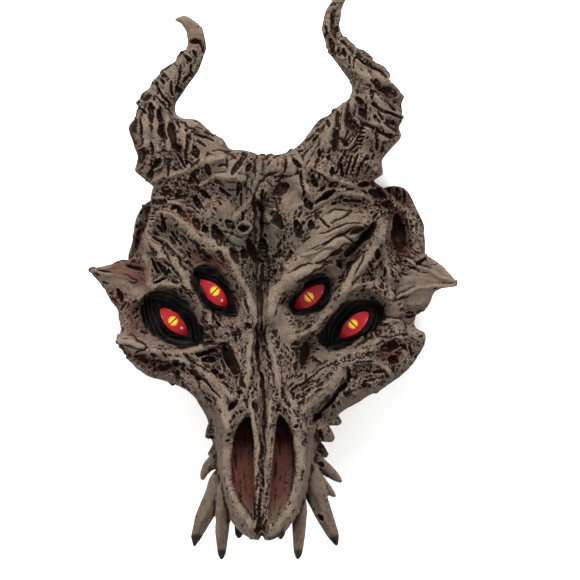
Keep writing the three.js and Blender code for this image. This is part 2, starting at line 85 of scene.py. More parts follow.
# Height or depth of each part of the relief
HEIGHTS = {
    "wide_hole": 1.8, "small_hole": 1.0, "rim": 0.5, "groove": 0.9,
    "broad_lumps": 0.7, "small_lumps": 0.35, "fibre": 0.3, "sinew": 0.7, "horn_sinew": 0.4,
    "lining": 0.9, "fissure": 1.8, "channel": 1.0, "chin": 3.0,
}

# Fibres along the grain, and the sinews and furrows between them: how wide and how far each runs
FIBRE = {"width": 0.8, "reach": 7}
SINEW = {"width": 2.4, "reach": 12}

# Pitch of the holes that lie between the single pits, along and across the grain
WIDE_PITCH = (7.5, 3.2)
SMALL_PITCH = (3.9, 2.1)

# Attributes that the paint and the painted shade are kept in
COATS = ("wash_and_shade", "shade", "light", "bare", "ink", "red", "violet", "green", "raw", "spongy", "back")

# The stage, and its soft lamps: name, place and width in metres, and share of the power
FLOOR_HALF = 12                 # half the floor's width in metres
SENSOR_WIDTH = 36               # width of the camera's sensor
VIEW_MIDDLE = (12.8, -12.8)     # middle of the photograph's frame on the plan
LAMPS = (
    ("key", (0, 1.9, 1.3), 1.3, 1.6),
    ("left", (-1.9, 0, 1.3), 1.3, 0.6),
    ("right", (1.9, 0, 1.3), 1.3, 0.4),
    ("low", (0, -1.9, 1.3), 1.3, 0.2),
    ("glint", (0.75, -0.75, 1.7), 0.22, 0.03),
)

# Plan of the open back, inside the rim
HOLLOW = [
    (-10, 74), (-61, 69), (-90, 39), (-109, -5), (-113, -29), (-112, -53), (-100, -69), (-62, -84),
    (-43, -125), (-36, -171), (-25, -188), (-10, -195), (5, -187), (16, -171), (25, -135),
    (50, -98), (98, -71), (108, -56), (110, 10), (98, 46), (45, 74),
]

# The eyes: CAD node, middle, turn in degrees, height of the dome, middle of the iris, turn of the slit
EYES = [
    ("eye_outer_left", -80.5, -38, -45, 43, -80.8, -37.6, 42),
    ("eye_inner_left", -48, -15.5, -44, 56, -47.2, -13.6, 45),
    ("eye_inner_right", 28.5, -18.5, 39, 56, 28, -18.4, -48),
    ("eye_outer_right", 64.5, -40.5, 42, 43, 63.2, -40, -45),
]

# Black lids: the plan of the painted socket round each eye
LIDS = [
    [(-107, -25), (-99, -14), (-87, -12), (-79, -13), (-69, -21), (-61, -35), (-56, -45), (-56, -54),
     (-61, -59), (-75, -60), (-87, -55), (-98, -49), (-105, -41), (-107, -33)],
    [(-66, -1), (-63, 6), (-55, 8), (-45, 5), (-37, -5), (-32, -18), (-29, -30), (-30, -35), (-37, -34),
     (-50, -32), (-57, -27), (-63, -17), (-67, -7)],
    [(38, 2), (45, -3), (47, -13), (45, -21), (38, -29), (25, -33), (15, -32), (11, -27), (10, -22),
     (15, -18), (23, -10), (30, -2)],
    [(49, -29), (57, -22), (69, -20), (83, -21), (90, -27), (89, -35), (81, -45), (70, -50), (62, -57),
     (51, -61), (43, -62), (36, -57), (35, -49), (41, -41)],
]

# Long openings of the nostrils
NOSTRILS = [
    [(-19, -112), (-16, -128), (-16, -150), (-15, -172), (-14, -196), (-20, -193), (-28, -180),
     (-34, -165), (-35, -148), (-32, -130), (-26, -117)],
    [(4, -111), (12, -120), (17, -135), (18, -152), (15, -170), (8, -186), (-1, -197), (-4, -190),
     (-3, -172), (-1, -150), (1, -128)],
]

# Middle lines of the horns, from the root to the tip
HORNS = [
    [(-46, 52), (-67, 84), (-87, 106), (-95, 126), (-87, 146), (-69, 166), (-61, 184), (-68, 200),
     (-80, 202)],
    [(30, 48), (44, 83), (65, 109), (79, 134), (74, 157), (56, 176), (46, 195), (50, 215), (65, 228)],
]

# Flat thorns on the sides, from the root to the tip
THORNS = [[(-104, -11), (-124, -5), (-148, 2)], [(104, -7), (123, -3), (148, -9)]]

# Fangs and side teeth: line from the root to the tip, and the length of the dark tip
FANGS = [
    ([(-41, -163), (-53, -189), (-59, -202), (-63, -218)], 16),
    ([(-36, -168), (-41, -200), (-42, -228)], 13),
    ([(-23, -186), (-27, -200), (-28, -211)], 14),
    ([(3, -186), (6, -200), (5, -212)], 14),
    ([(17, -168), (20, -200), (19, -228)], 13),
    ([(26, -156), (36, -184), (43, -199), (50, -218)], 14),
]

# The dark of a tip: the shares of its length at which it is full and gone, how far under its top its
# middle lies, how far up and down from there it reaches, and how black it is
TIP = {"full": 0.55, "none": 0.8, "middle": 5, "reach": (9, 11), "ink": 0.88}

# Smaller teeth down the sides of the muzzle: lines from the root to the tip
SIDE_TEETH = [
    [(-42, -117), (-55, -131)], [(-40, -134), (-53, -145)], [(-40, -144), (-58, -165)],
    [(-40, -158), (-54, -174)], [(38, -110), (54, -120)], [(30, -120), (48, -133)],
    [(26, -134), (43, -146)], [(28, -145), (55, -167)], [(28, -156), (50, -178)],
]

# The skin is cut across into closed pieces, so that each keeps its fine relief: name, lowest and
# highest place along Y
BANDS = [
    ("skin_muzzle", -240, -104), ("skin_cheeks", -104, -44), ("skin_brow", -44, 16),
    ("skin_forehead", 16, 76), ("skin_horns", 76, 240),
]
BAND_OVERLAP = 0.8              # length that two neighbouring pieces share
BLOCK_SIZE = 0.6                # width and height in metres of the block that cuts a piece out
MERGE = 0.005                   # points of a cut that are nearer than this are one
NEAR_CUT = 1                    # distance from a cut in which scraps are looked for
FLAT_END = 0.04                 # a face within this distance of a cut is part of its flat end
FEW = 12                        # fewer points than this are a scrap, and so many sides make a small hole

# Pointed slabs of bone: a line from the root to the tip, the half width and the height
SLABS = [
    ([(19, 17), (41, 29), (59, 37), (74, 41)], 3.4, 2.9),
    ([(9, -2), (25, 10), (41, 19), (54, 27), (64, 25)], 5.2, 3.5),
    ([(5, -10), (17, -1), (30, 5), (45, 10)], 4, 2.9),
    ([(37, 40), (49, 47), (62, 50)], 3.2, 1.9),
    ([(-24, 24), (-32, 28), (-42, 34)], 3.2, 1.9),
    ([(-74, -62), (-59, -60), (-41, -57)], 3.2, 2.4),
    ([(-126, -50), (-115, -54), (-99, -60)], 4, 1.9),
    ([(57, -14), (61, -2), (66, 10), (71, 17)], 2.7, 2.4),
    ([(-55, -21), (-61, -30), (-60, -38), (-54, -43)], 3.2, 1.6),
]

# The fissure down the middle of the face, and the channel that it opens into on the muzzle
FISSURE = [
    (1, 82), (-10, 75), (-16, 63), (-15, 27), (-13, -13), (-13, -61), (-9, -93), (-7, -105), (-10, -127),
    (-11, -140),
]
CHANNEL = [(-10, -138), (-10, -160), (-10, -180), (-9.5, -208)]

# Lips of the scales down the outer edge of the right horn: the place of each, and how far it is drawn
# out of the horn. Each grows slowly over one length and ends over a shorter one.
LIPS = [(75, 174, 4), (89, 160, 4), (101, 144, 4.5), (102, 125, 5), (96, 110, 3.5)]
DOWN_HORN = (0.64, -0.77)       # direction that the lips grow in
OUT_OF_HORN = (0.95, -0.15)     # direction that they are drawn out in
LIP = {"grows": 8, "ends": 3.6, "half_width": 9}

# Rounded knobs: both ends of the middle line, half width and height
KNOBS = [
    (-9, 66, -6, 50, 8, 3.5), (-5, 89, 14, 89, 9, 3), (-44, 88, -32, 78, 10, 2), (78, -88, 86, -92, 6, 3),
    (88, -42, 98, -44, 7, 2.5), (-116, 118, -112, 108, 4, 2), (40, 86, 48, 80, 6, 2),
]

# Where the skin is pitted all over like a sponge: both ends of the middle line and half width
SPONGY = [
    (-45, -42, -32, -92, 14), (14, -45, 8, -96, 14), (-47, -110, -44, -140, 8), (24, -112, 30, -140, 8),
    (-12, 66, -10, 10, 26), (-110, -74, -62, -98, 10), (46, -78, 96, -72, 14), (-90, 90, -45, 60, 12),
    (48, 74, 92, 60, 16), (-10, -110, -10, -190, 5), (90, 30, 104, 0, 8),
]

# Raised sinews: a line in plan and its half width
STRANDS = [
    ([(-93, 48), (-78, 46), (-69, 38), (-61, 30), (-48, 25), (-38, 18), (-32, 6), (-24, -9), (-18, -21),
      (-14, -38)], 2.4),
    ([(-106, 32), (-102, 22), (-102, 10), (-100, -9)], 2.4),
    ([(-91, 15), (-79, 10), (-70, -2), (-62, -14), (-54, -27), (-50, -38)], 2.4),
    ([(-63, 6), (-54, 10), (-45, 8), (-38, 2)], 1.2),
    ([(-109, -21), (-101, -13), (-89, -8), (-75, -10)], 1.6),
    ([(-99, -60), (-87, -63), (-67, -61), (-47, -57), (-42, -54)], 2),
    ([(-87, -67), (-74, -69), (-55, -78), (-42, -91), (-30, -101)], 2.8),
    ([(-55, -89), (-42, -99), (-35, -117)], 3.2),
    ([(-42, -101), (-37, -125), (-37, -157), (-32, -177), (-19, -201)], 3.2),
    ([(-12, -38), (-3, -21), (7, -9), (21, 2), (41, 13)], 4.8),
    ([(13, 5), (37, 23), (61, 29)], 4.8),
    ([(33, 27), (57, 37), (73, 42)], 3.2),
    ([(89, 35), (75, 13), (62, -5), (53, -21), (45, -29), (35, -41), (21, -49)], 2.4),
    ([(61, -73), (45, -89), (30, -102), (21, -109)], 4.8),
    ([(57, -62), (38, -78), (21, -86)], 1.6),
    ([(-85, 125), (-83, 99)], 2.4),
    ([(-94, 135), (-94, 99)], 1.9),
    ([(-102, 125), (-102, 99)], 1.9),
    ([(-73, 122), (-73, 99)], 1.9),
    ([(56, 188), (67, 181), (75, 175)], 1.6),
    ([(66, 176), (77, 168), (89, 163)], 1.6),
    ([(80, 159), (92, 151), (101, 146)], 3),
    ([(62, 169), (68, 161), (78, 155)], 3),
    ([(62, 151), (64, 139), (61, 125)], 1.6),
    ([(74, 139), (78, 142), (85, 136), (89, 127), (99, 123)], 2),
    ([(50, 131), (45, 115), (41, 99)], 2.4),
    ([(65, 117), (61, 103)], 2.4),
    ([(73, 123), (77, 111), (89, 107)], 2),
    ([(-70, 175), (-83, 163), (-93, 151), (-101, 142), (-106, 135)], 2.6),
    ([(-77, 166), (-82, 155), (-87, 146), (-91, 139), (-94, 131)], 2.3),
    ([(-95, 147), (-93, 139), (-86, 130), (-75, 124), (-59, 118)], 1.4),
    ([(-77, 126), (-63, 120), (-47, 112), (-31, 102)], 1.2),
    ([(-74, 121), (-59, 114), (-43, 106), (-34, 99)], 1.1),
    ([(-99, 139), (-102, 130), (-103, 119), (-102, 107), (-105, 98)], 1.6),
    ([(-94, 137), (-94, 127), (-93, 117), (-94, 107), (-93, 98)], 1.8),
    ([(-86, 135), (-85, 125), (-84, 115), (-85, 99)], 1.6),
    ([(-75, 122), (-73, 111), (-72, 99)], 1.6),
    ([(-66, 117), (-66, 107), (-67, 98)], 1.2),
    ([(-107, 130), (-109, 119), (-108, 107), (-110, 99)], 1.6),
    ([(62, 155), (61, 143), (54, 133), (45, 125), (33, 115), (21, 106)], 1.4),
    ([(66, 152), (65, 141), (62, 130)], 1.4),
    ([(57, 134), (55, 123), (54, 111), (53, 99)], 1.6),
    ([(43, 122), (42, 111), (38, 99)], 2.3),
    ([(74, 146), (72, 135), (70, 125), (76, 120), (86, 118), (95, 113)], 1.6),
    ([(78, 141), (86, 136), (94, 130), (103, 124)], 1.6),
    ([(81, 117), (79, 99)], 0.9),
    ([(86, 115), (85, 99)], 0.9),
    ([(91, 113), (90, 99)], 0.9),
    ([(-18, -45), (-20, -69), (-22, -89), (-27, -102), (-30, -113)], 1.8),
    ([(-5, -45), (0, -65), (3, -85), (7, -101), (13, -111)], 1.8),
    ([(-18, -102), (-14, -125), (-13, -157), (-12, -189)], 1.2),
    ([(-2, -102), (-4, -125), (-6, -157), (-9, -189)], 1.2),
    ([(14, -107), (19, -125), (22, -149), (19, -173), (11, -190), (-2, -205)], 2.6),
    ([(86, 38), (78, 19), (66, -1), (55, -14)], 2.3),
    ([(86, 38), (88, 19), (91, -1), (94, -18)], 2.1),
    ([(-149, 2), (-131, 6), (-115, 10), (-106, 14)], 1.2),
    ([(-147, 2), (-130, -1), (-111, -6)], 1.1),
    ([(146, -6), (133, -2), (117, 5), (105, 13)], 1.2),
    ([(145, -8), (129, -9), (113, -13), (99, -19)], 1.2),
    ([(-59, 70), (-47, 77), (-31, 78), (-21, 74), (-13, 62)], 1.8),
    ([(-10, 91), (-13, 75), (-19, 59), (-30, 46), (-38, 29)], 1.8),
    ([(-5, 91), (5, 99), (18, 98)], 1.8),
    ([(31, 101), (26, 90), (21, 82)], 1.6),
    ([(34, 67), (26, 70), (24, 80), (30, 88), (38, 85), (38, 74), (34, 67)], 1.4),
    ([(21, 55), (34, 62), (45, 67), (58, 67)], 1.4),
    ([(-106, 54), (-91, 57), (-77, 56), (-66, 51)], 1.4),
    ([(-55, -45), (-45, -46), (-34, -45), (-22, -38)], 1.8),
    ([(37, -59), (48, -62), (62, -62), (78, -56), (91, -45)], 1.8),
    ([(87, -47), (98, -51), (107, -50)], 1.4),
    ([(21, -57), (30, -62), (38, -70)], 1.6),
    ([(-125, -54), (-107, -58), (-99, -61)], 1.8),
    ([(-123, -61), (-111, -74), (-98, -85), (-85, -94)], 1.8),
    ([(-102, 74), (-86, 78), (-69, 82), (-61, 89), (-50, 91), (-39, 93), (-29, 98)], 2.1),
    ([(-105, 33), (-102, 19), (-99, 3), (-99, -11)], 1.1),
    ([(-104, 33), (-95, 22), (-85, 13), (-75, 3), (-67, -11)], 1.3),
    ([(-102, 32), (-91, 30), (-82, 23), (-74, 14)], 1.1),
    ([(-99, -10), (-91, -2), (-85, 5)], 0.9),
    ([(23, 83), (26, 72), (30, 62), (35, 61), (43, 66), (50, 72)], 1.8),
    ([(29, 87), (38, 81), (54, 73), (70, 67), (78, 69)], 1.8),
    ([(27, 51), (42, 58), (54, 65), (70, 63), (79, 57)], 1.8),
    ([(86, 36), (75, 25), (70, 14), (59, -5), (54, -11)], 1.6),
    ([(70, 17), (75, 6), (83, -5)], 1.1),
    ([(83, -6), (69, -8), (57, -14)], 1.3),
    ([(90, 18), (83, 10), (78, 3)], 0.9),
    ([(-42, -58), (-40, -67), (-41, -77)], 1.6),
    ([(62, -70), (79, -69), (90, -75), (94, -85), (87, -93), (73, -98)], 2.1),
    ([(69, -85), (77, -82), (84, -84)], 1),
    ([(71, -51), (57, -63), (33, -79), (13, -91)], 1.4),
    ([(59, -71), (53, -85), (45, -98), (39, -109)], 2.6),
    ([(78, -40), (89, -38), (97, -42), (98, -50), (89, -53), (80, -50), (78, -40)], 1),
    ([(-35, -119), (-34, -111), (-29, -107), (-19, -101), (-18, -90)], 1.6),
    ([(6, -89), (10, -94), (15, -102), (21, -113), (26, -125)], 1.9),
    ([(-18, 37), (-21, 32), (-26, 32), (-28, 37), (-26, 42), (-21, 42), (-18, 37)], 1.2),
]

# Pits and slots as (x1, y1, x2, y2, half width), by the part of the mask
LEFT_HORN_PITS = [
    (-66, 185, -60, 186, 2.4), (-59, 185, -55, 174, 0.8), (-70, 174, -67, 171, 1.6),
    (-64, 178, -63, 174, 1), (-67, 170, -66, 162, 0.8), (-58, 173, -57, 166, 1.6),
    (-66, 161, -65, 157, 1.6), (-78, 166, -78, 166, 1.2), (-75, 166, -76, 149, 0.8),
    (-77, 149, -74, 144, 1.8), (-82, 153, -81, 142, 1), (-89, 158, -86, 158, 1.2),
    (-94, 153, -93, 150, 1.6), (-90, 155, -88, 152, 1.2), (-93, 149, -88, 142, 1),
    (-90, 145, -83, 133, 1), (-94, 142, -85, 130, 0.6), (-89, 137, -80, 126, 0.6),
    (-103, 139, -98, 142, 2), (-98, 134, -98, 130, 3.2), (-98, 130, -97, 122, 2.2),
    (-104, 131, -102, 128, 1.2), (-92, 130, -90, 122, 1.6), (-90, 118, -89, 109, 2.8),
    (-87, 119, -86, 107, 1), (-82, 119, -80, 101, 3.2), (-109, 122, -110, 113, 1.2),
    (-106, 123, -106, 109, 0.6), (-114, 109, -113, 102, 2.4), (-74, 121, -64, 115, 0.8),
    (-67, 113, -48, 106, 0.6), (-70, 110, -70, 96, 1.2), (-55, 113, -48, 110, 1),
    (-44, 110, -33, 102, 0.8), (-62, 106, -54, 102, 0.8), (-78, 102, -75, 97, 2.4),
    (-63, 101, -62, 94, 2.4), (-98, 105, -97, 98, 1.2), (-103, 101, -106, 96, 1.6),
]
LEFT_FOREHEAD_PITS = [
    (-105, 99, -106, 90, 2.8), (-97, 101, -98, 87, 1.2), (-91, 90, -97, 85, 2.4),
    (-98, 82, -100, 74, 2.4), (-85, 91, -84, 79, 1), (-78, 97, -70, 85, 0.8), (-70, 99, -69, 88, 1.2),
    (-60, 91, -66, 85, 1.2), (-89, 68, -82, 65, 2.9), (-82, 65, -72, 60, 1.9), (-97, 57, -87, 58, 2),
    (-82, 52, -77, 53, 1.6), (-77, 53, -70, 47, 1.8), (-61, 82, -67, 72, 2.4), (-57, 66, -52, 62, 2.4),
    (-62, 61, -60, 53, 2.4), (-54, 87, -51, 80, 2), (-44, 85, -39, 87, 1), (-38, 91, -38, 85, 1),
    (-26, 93, -33, 80, 2.4), (-22, 98, -25, 93, 2.4), (-19, 87, -22, 83, 2), (-42, 68, -36, 62, 1.6),
    (-28, 73, -29, 63, 1.4), (-26, 71, -26, 55, 0.8), (-89, 46, -88, 35, 1.6), (-77, 40, -77, 39, 1.6),
    (-64, 43, -60, 37, 2.4), (-56, 38, -54, 34, 2), (-48, 38, -43, 25, 4), (-37, 42, -33, 37, 3.2),
    (-27, 37, -22, 37, 2.8), (-25, 49, -24, 44, 1), (-34, 19, -29, 10, 3.6), (-25, 17, -22, 14, 3.6),
    (-13, 59, -12, 51, 2), (-109, 34, -110, 21, 1.2), (-97, 30, -89, 26, 0.8), (-82, 34, -77, 27, 1),
    (-74, 31, -69, 25, 0.8), (-67, 30, -67, 30, 1.2), (-70, 18, -67, 13, 1.2), (-62, 22, -59, 18, 1.6),
    (-57, 19, -50, 13, 1.6), (-45, 18, -40, 10, 1.6), (-87, 19, -82, 10, 0.8), (-78, 14, -72, 6, 0.8),
]
CENTRE_PITS = [
    (-20, 25, -13, 10, 4), (-10, 27, -6, 10, 3.2), (-10, 67, -10, 29, 1.2), (-10, 10, -10, -45, 1.3),
    (-13, -53, -13, -69, 1.3), (-10, -78, -10, -91, 1.1), (-7, -101, -7, -125, 1.1),
    (-10, -134, -10, -146, 1), (-13, -157, -13, -171, 1), (-11, -177, -11, -190, 1.1),
    (-12, -192, -12, -206, 1.9),
]
RIGHT_FOREHEAD_PITS = [
    (31, 78, 34, 70, 2.4), (15, 90, 21, 85, 2.4), (9, 91, 9, 82, 1.2), (2, 65, 9, 70, 4.8),
    (22, 82, 24, 62, 1), (26, 59, 30, 53, 2.8), (35, 59, 47, 66, 2.4), (45, 70, 50, 72, 2.4),
    (0, 48, 6, 38, 4), (18, 41, 21, 30, 3.2), (29, 42, 30, 36, 2), (23, 34, 23, 34, 2.4),
    (23, 25, 29, 29, 1.2), (-7, 31, -7, 30, 1.4), (-11, 15, -6, 16, 2.4), (2, 14, 6, 18, 2),
    (10, 11, 14, 18, 1.4), (-4, 10, -5, 5, 1.6), (37, 43, 44, 38, 1), (47, 56, 50, 57, 1.2),
    (56, 59, 69, 59, 1), (38, 24, 42, 26, 0.8), (61, 31, 74, 38, 1.4), (57, 16, 69, 26, 3.2),
    (69, 26, 80, 38, 3.2), (45, 15, 53, 19, 1.6), (51, 10, 54, 5, 2.4), (88, 56, 94, 54, 3.2),
    (78, 66, 88, 62, 4), (67, 70, 74, 72, 2), (99, 46, 101, 19, 4.8), (82, 19, 83, 13, 2),
    (76, 10, 78, 2, 1.2), (89, 5, 88, -2, 1), (113, 9, 121, 13, 1.2), (97, 10, 107, 10, 0.8),
    (57, 99, 50, 82, 0.8), (62, 95, 58, 79, 0.8), (67, 95, 62, 79, 0.8), (74, 95, 66, 77, 0.8),
    (53, 87, 55, 78, 1.6), (47, 85, 46, 79, 1.6), (93, 70, 92, 58, 0.8), (98, 70, 98, 57, 0.8),
    (104, 69, 105, 57, 0.8),
]
RIGHT_HORN_PITS = [
    (65, 173, 87, 159, 1.1), (78, 154, 98, 143, 1.2), (79, 135, 100, 124, 1.2), (74, 119, 93, 109, 1.2),
    (44, 217, 46, 214, 1.6), (42, 198, 42, 194, 0.8), (42, 193, 41, 189, 0.8), (46, 186, 47, 178, 2),
    (52, 179, 54, 174, 1.2), (56, 178, 56, 174, 1.2), (54, 185, 59, 182, 1), (60, 174, 60, 168, 0.8),
    (64, 173, 63, 165, 0.6), (66, 175, 70, 173, 1.4), (70, 173, 77, 166, 1.4), (77, 166, 89, 158, 1.4),
    (82, 154, 85, 147, 2.4), (88, 147, 97, 143, 4), (94, 146, 98, 145, 1.6), (78, 146, 78, 140, 1.4),
    (67, 140, 72, 134, 2.8), (69, 131, 72, 126, 3.2), (74, 135, 74, 123, 0.8), (60, 128, 60, 123, 2.4),
    (59, 122, 64, 117, 3.6), (67, 118, 58, 103, 2), (51, 129, 50, 118, 1.6), (50, 113, 48, 99, 2.4),
    (42, 122, 44, 117, 1.4), (73, 120, 76, 118, 1.6), (81, 114, 83, 107, 1.6), (90, 110, 92, 111, 2),
    (78, 136, 83, 133, 1.2), (81, 125, 81, 124, 1.6), (84, 129, 86, 123, 0.6), (31, 107, 35, 110, 1.2),
    (37, 99, 36, 94, 1.6), (53, 107, 56, 103, 1.2), (68, 117, 73, 116, 0.6), (68, 114, 73, 113, 0.6),
    (68, 110, 72, 110, 0.6), (67, 107, 71, 106, 0.6), (67, 104, 70, 103, 0.6),
]
LEFT_SIDE_PITS = [
    (-118, 7, -106, 3, 1.6), (-126, -14, -123, -21, 2.4), (-118, -22, -122, -29, 1),
    (-98, 13, -93, 2, 1.2), (-93, 10, -85, 0, 1.6), (-95, -7, -85, -2, 1), (-23, -21, -21, -30, 1.2),
    (-21, -40, -18, -43, 1.6), (-50, -41, -49, -48, 1.2), (-45, -38, -42, -41, 1.2),
    (-34, -42, -30, -53, 2), (-29, -43, -27, -51, 1.6),
]
LEFT_CHEEK_PITS = [
    (-55, -57, -49, -54, 1.6), (-61, -64, -46, -62, 1.4), (-56, -69, -48, -69, 2),
    (-40, -57, -30, -77, 4.8), (-42, -69, -39, -75, 1.2), (-121, -57, -118, -66, 0.6),
    (-110, -63, -101, -58, 0.8), (-111, -66, -102, -70, 2), (-97, -63, -93, -66, 1.6),
    (-89, -62, -86, -66, 1), (-79, -70, -76, -72, 2.8), (-96, -78, -82, -74, 2), (-72, -72, -72, -73, 2),
    (-66, -74, -63, -74, 1.4), (-77, -78, -77, -85, 1.8), (-74, -86, -68, -94, 1.2),
    (-72, -64, -59, -74, 1.1), (-59, -74, -51, -79, 1.1), (-66, -78, -62, -80, 2),
    (-62, -81, -59, -84, 1.6), (-54, -86, -42, -98, 0.6), (-49, -78, -45, -78, 2),
    (-43, -80, -40, -82, 1.6), (-30, -70, -28, -78, 2), (-26, -85, -23, -89, 2),
    (-29, -93, -26, -94, 1.6), (-19, -90, -19, -91, 1.2), (-17, -94, -17, -95, 1.2),
    (-35, -107, -30, -101, 2.6), (-54, -99, -50, -102, 1.2), (-55, -102, -49, -107, 1),
    (-53, -114, -50, -116, 2), (-46, -120, -46, -128, 2), (-51, -133, -47, -130, 2),
    (-22, -100, -21, -105, 1.2), (-15, -102, -14, -108, 1.8), (-35, -117, -35, -118, 1),
    (-34, -121, -34, -122, 1), (-36, -126, -36, -127, 1), (-36, -131, -36, -132, 1),
    (-32, -113, -32, -114, 1), (-29, -110, -29, -111, 1), (-26, -109, -26, -110, 1),
]
RIGHT_CHEEK_PITS = [
    (26, -56, 23, -70, 4), (18, -70, 17, -75, 1.6), (26, -80, 26, -84, 1.2), (14, -92, 21, -88, 1),
    (21, -88, 30, -82, 1), (30, -82, 41, -74, 1), (41, -74, 50, -70, 1), (22, -98, 28, -93, 1.4),
    (33, -94, 37, -91, 0.8), (58, -87, 51, -94, 1.8), (51, -94, 46, -102, 1.8), (46, -102, 35, -112, 1.8),
    (35, -112, 30, -120, 1.8), (33, -112, 37, -114, 2.4), (59, -74, 60, -85, 1.6),
    (70, -85, 81, -83, 1.2), (70, -88, 77, -89, 2), (56, -95, 64, -99, 2.4), (51, -102, 54, -109, 1.4),
    (65, -70, 78, -69, 0.6), (80, -78, 88, -78, 1.4), (88, -78, 92, -85, 1.4), (92, -85, 90, -90, 1.4),
    (87, -60, 98, -58, 3.2), (93, -67, 98, -70, 3.6), (108, -58, 111, -66, 0.8), (82, -50, 91, -51, 0.6),
    (91, -51, 98, -49, 0.6), (71, -59, 78, -58, 0.8), (6, -90, 7, -98, 1.8), (18, -120, 18, -121, 1.6),
    (23, -115, 23, -116, 1), (13, -103, 13, -104, 1), (10, -107, 10, -108, 1), (20, -108, 20, -109, 1),
    (25, -131, 24, -135, 1.6), (37, -125, 38, -130, 1.4), (38, -132, 38, -133, 1.6),
    (23, -154, 22, -163, 1.4), (29, -143, 32, -142, 1.2), (36, -151, 39, -153, 1.6),
    (36, -192, 38, -195, 1.6),
]

# Stains: where paint of one colour lies, as (x1, y1, x2, y2, half width)
RED_STAINS = [
    (-118, 8, -106, 2, 7), (-126, 11, -120, 8, 3), (-108, 33, -109, 21, 5), (-114, -24, -113, -48, 4),
    (99, 46, 101, 20, 8), (90, 66, 106, 62, 7), (-65, 186, -60, 186, 3), (46, 186, 47, 178, 3),
    (-114, 109, -112, 101, 4), (-106, 98, -105, 90, 4),
    (90, 65, 88, 57, 5), (-126, -14, -123, -21, 4), (88, -60, 97, -67, 6), (-96, -78, -82, -74, 4),
    (-110, -66, -102, -70, 4), (-60, 14, -40, 8, 6), (-70, 47, -60, 40, 4),
    (-124, 4, -106, -4, 7),
]
VIOLET_STAINS = [
    (88, 147, 97, 143, 6), (59, 122, 64, 117, 5), (69, 131, 72, 126, 5), (2, 65, 9, 70, 6),
    (26, -56, 23, -70, 6), (50, 113, 48, 99, 4), (-78, 102, -75, 97, 4), (72, 135, 60, 128, 4),
]
GREEN_STAINS = [
    (-40, 40, -22, 27, 12), (-22, 30, -8, 5, 12), (5, 30, 22, 28, 12), (-15, 35, 0, 36, 10),
    (-10, -10, -9, -60, 6), (62, 20, 78, 36, 5), (-30, 60, -10, 80, 8),
]
# Roots of the horns, where the CAD rings are smoothed away
HORN_ROOTS = [
    (-80, 128, -30, 98, 11), (-60, 108, -26, 94, 8), (66, 146, 24, 104, 10), (40, 112, 14, 98, 8),
    (-94, 128, -66, 172, 14), (80, 132, 50, 186, 14),
]
# The valley down the forehead, which is shaded less than other valleys
VALLEY = [(-9, 70, -9, 10, 30)]
# The snout between the teeth, which is pitted
SNOUT = [(-9, -100, -9, -170, 30), (-9, -170, -9, -190, 20)]
# Smooth plates of bone, without pits
PLATES = [
    (-52, 97, -26, 72, 13), (46, 50, 60, 46, 8), (34, 28, 60, 20, 8), (26, 12, 44, 6, 9),
    (-130, 4, -112, -8, 12), (136, -6, 112, -12, 14), (-112, -57, -100, -57, 6), (62, 169, 78, 155, 5),
    (82, 158, 99, 148, 4), (-72, 200, -66, 186, 8), (-100, 112, -98, 118, 5),
    (-32, -110, -20, -105, 4), (80, -40, 96, -30, 6), (30, -78, 44, -66, 7), (12, -50, 0, -30, 6),
    (17, 90, 13, 58, 8), (-3, 47, -3, 28, 6), (-38, 50, -28, 32, 7), (-58, 98, -50, 84, 6),
]


def linear(colour):
    """A written sRGB colour such as #8f8069, as the linear values that Blender works in."""
    parts = [int(colour[i:i + 2], 16) / 255 for i in (1, 3, 5)]
    return tuple(c / 12.92 if c <= 0.04045 else ((c + 0.055) / 1.055) ** 2.4 for c in parts)


def ramp(value, low, high):
    """A smooth step from 0 at low to 1 at high."""
    t = np.clip((value - low) / (high - low), 0, 1)
    return t * t * (3 - 2 * t)


def turned(x, y, middle_x, middle_y, degrees):
    """The place of (x, y) in a frame at a middle, turned by so many degrees."""
    c = math.cos(math.radians(degrees))
    s = math.sin(math.radians(degrees))
    return (x - middle_x) * c + (y - middle_y) * s, (y - middle_y) * c - (x - middle_x) * s


def distance_to(line, x, y):
    """The distance from each point to a line of points, and the place 0..1 along it that is nearest."""
    best = np.full(np.shape(x), np.inf)
    place = np.zeros(np.shape(x))
    for k, (a, b) in enumerate(zip(line, line[1:])):
        dx = b[0] - a[0]
        dy = b[1] - a[1]
        along = np.clip(((x - a[0]) * dx + (y - a[1]) * dy) / max(dx * dx + dy * dy, 1e-6), 0, 1)
        distance = np.hypot(x - a[0] - along * dx, y - a[1] - along * dy)
        nearer = distance < best
        best[nearer] = distance[nearer]
        place[nearer] = (k + along[nearer]) / (len(line) - 1)
    return best, place


def inside(outline, x, y):
    """Where the points lie inside a closed outline."""
    found = np.zeros(np.shape(x), bool)
    for a, b in zip(outline, outline[1:] + outline[:1]):
        if a[1] != b[1]:
            crosses = (a[1] > y) != (b[1] > y)
            found ^= crosses & (x < (b[0] - a[0]) * (y - a[1]) / (b[1] - a[1]) + a[0])
    return found


def lay(drawing, part, value):
    """Lay a shape on a part of a drawing, where it is higher than what lies there."""
    drawing[part] = np.maximum(drawing[part], value)


def soften(values, radius):
    """A drawing blurred over so many millimetres."""
    reach = max(int(round(radius / DRAW_STEP)), 1)
    for axis in (0, 1, 0, 1):
        rows = np.moveaxis(values, axis, 0)
        padded = np.pad(rows, [(reach + 1, reach), (0, 0)], mode="edge")
        total = np.cumsum(padded, axis=0)
        rows = (total[2 * reach + 1:] - total[:-2 * reach - 1]) / (2 * reach + 1)
        values = np.moveaxis(rows, 0, axis)
    return values


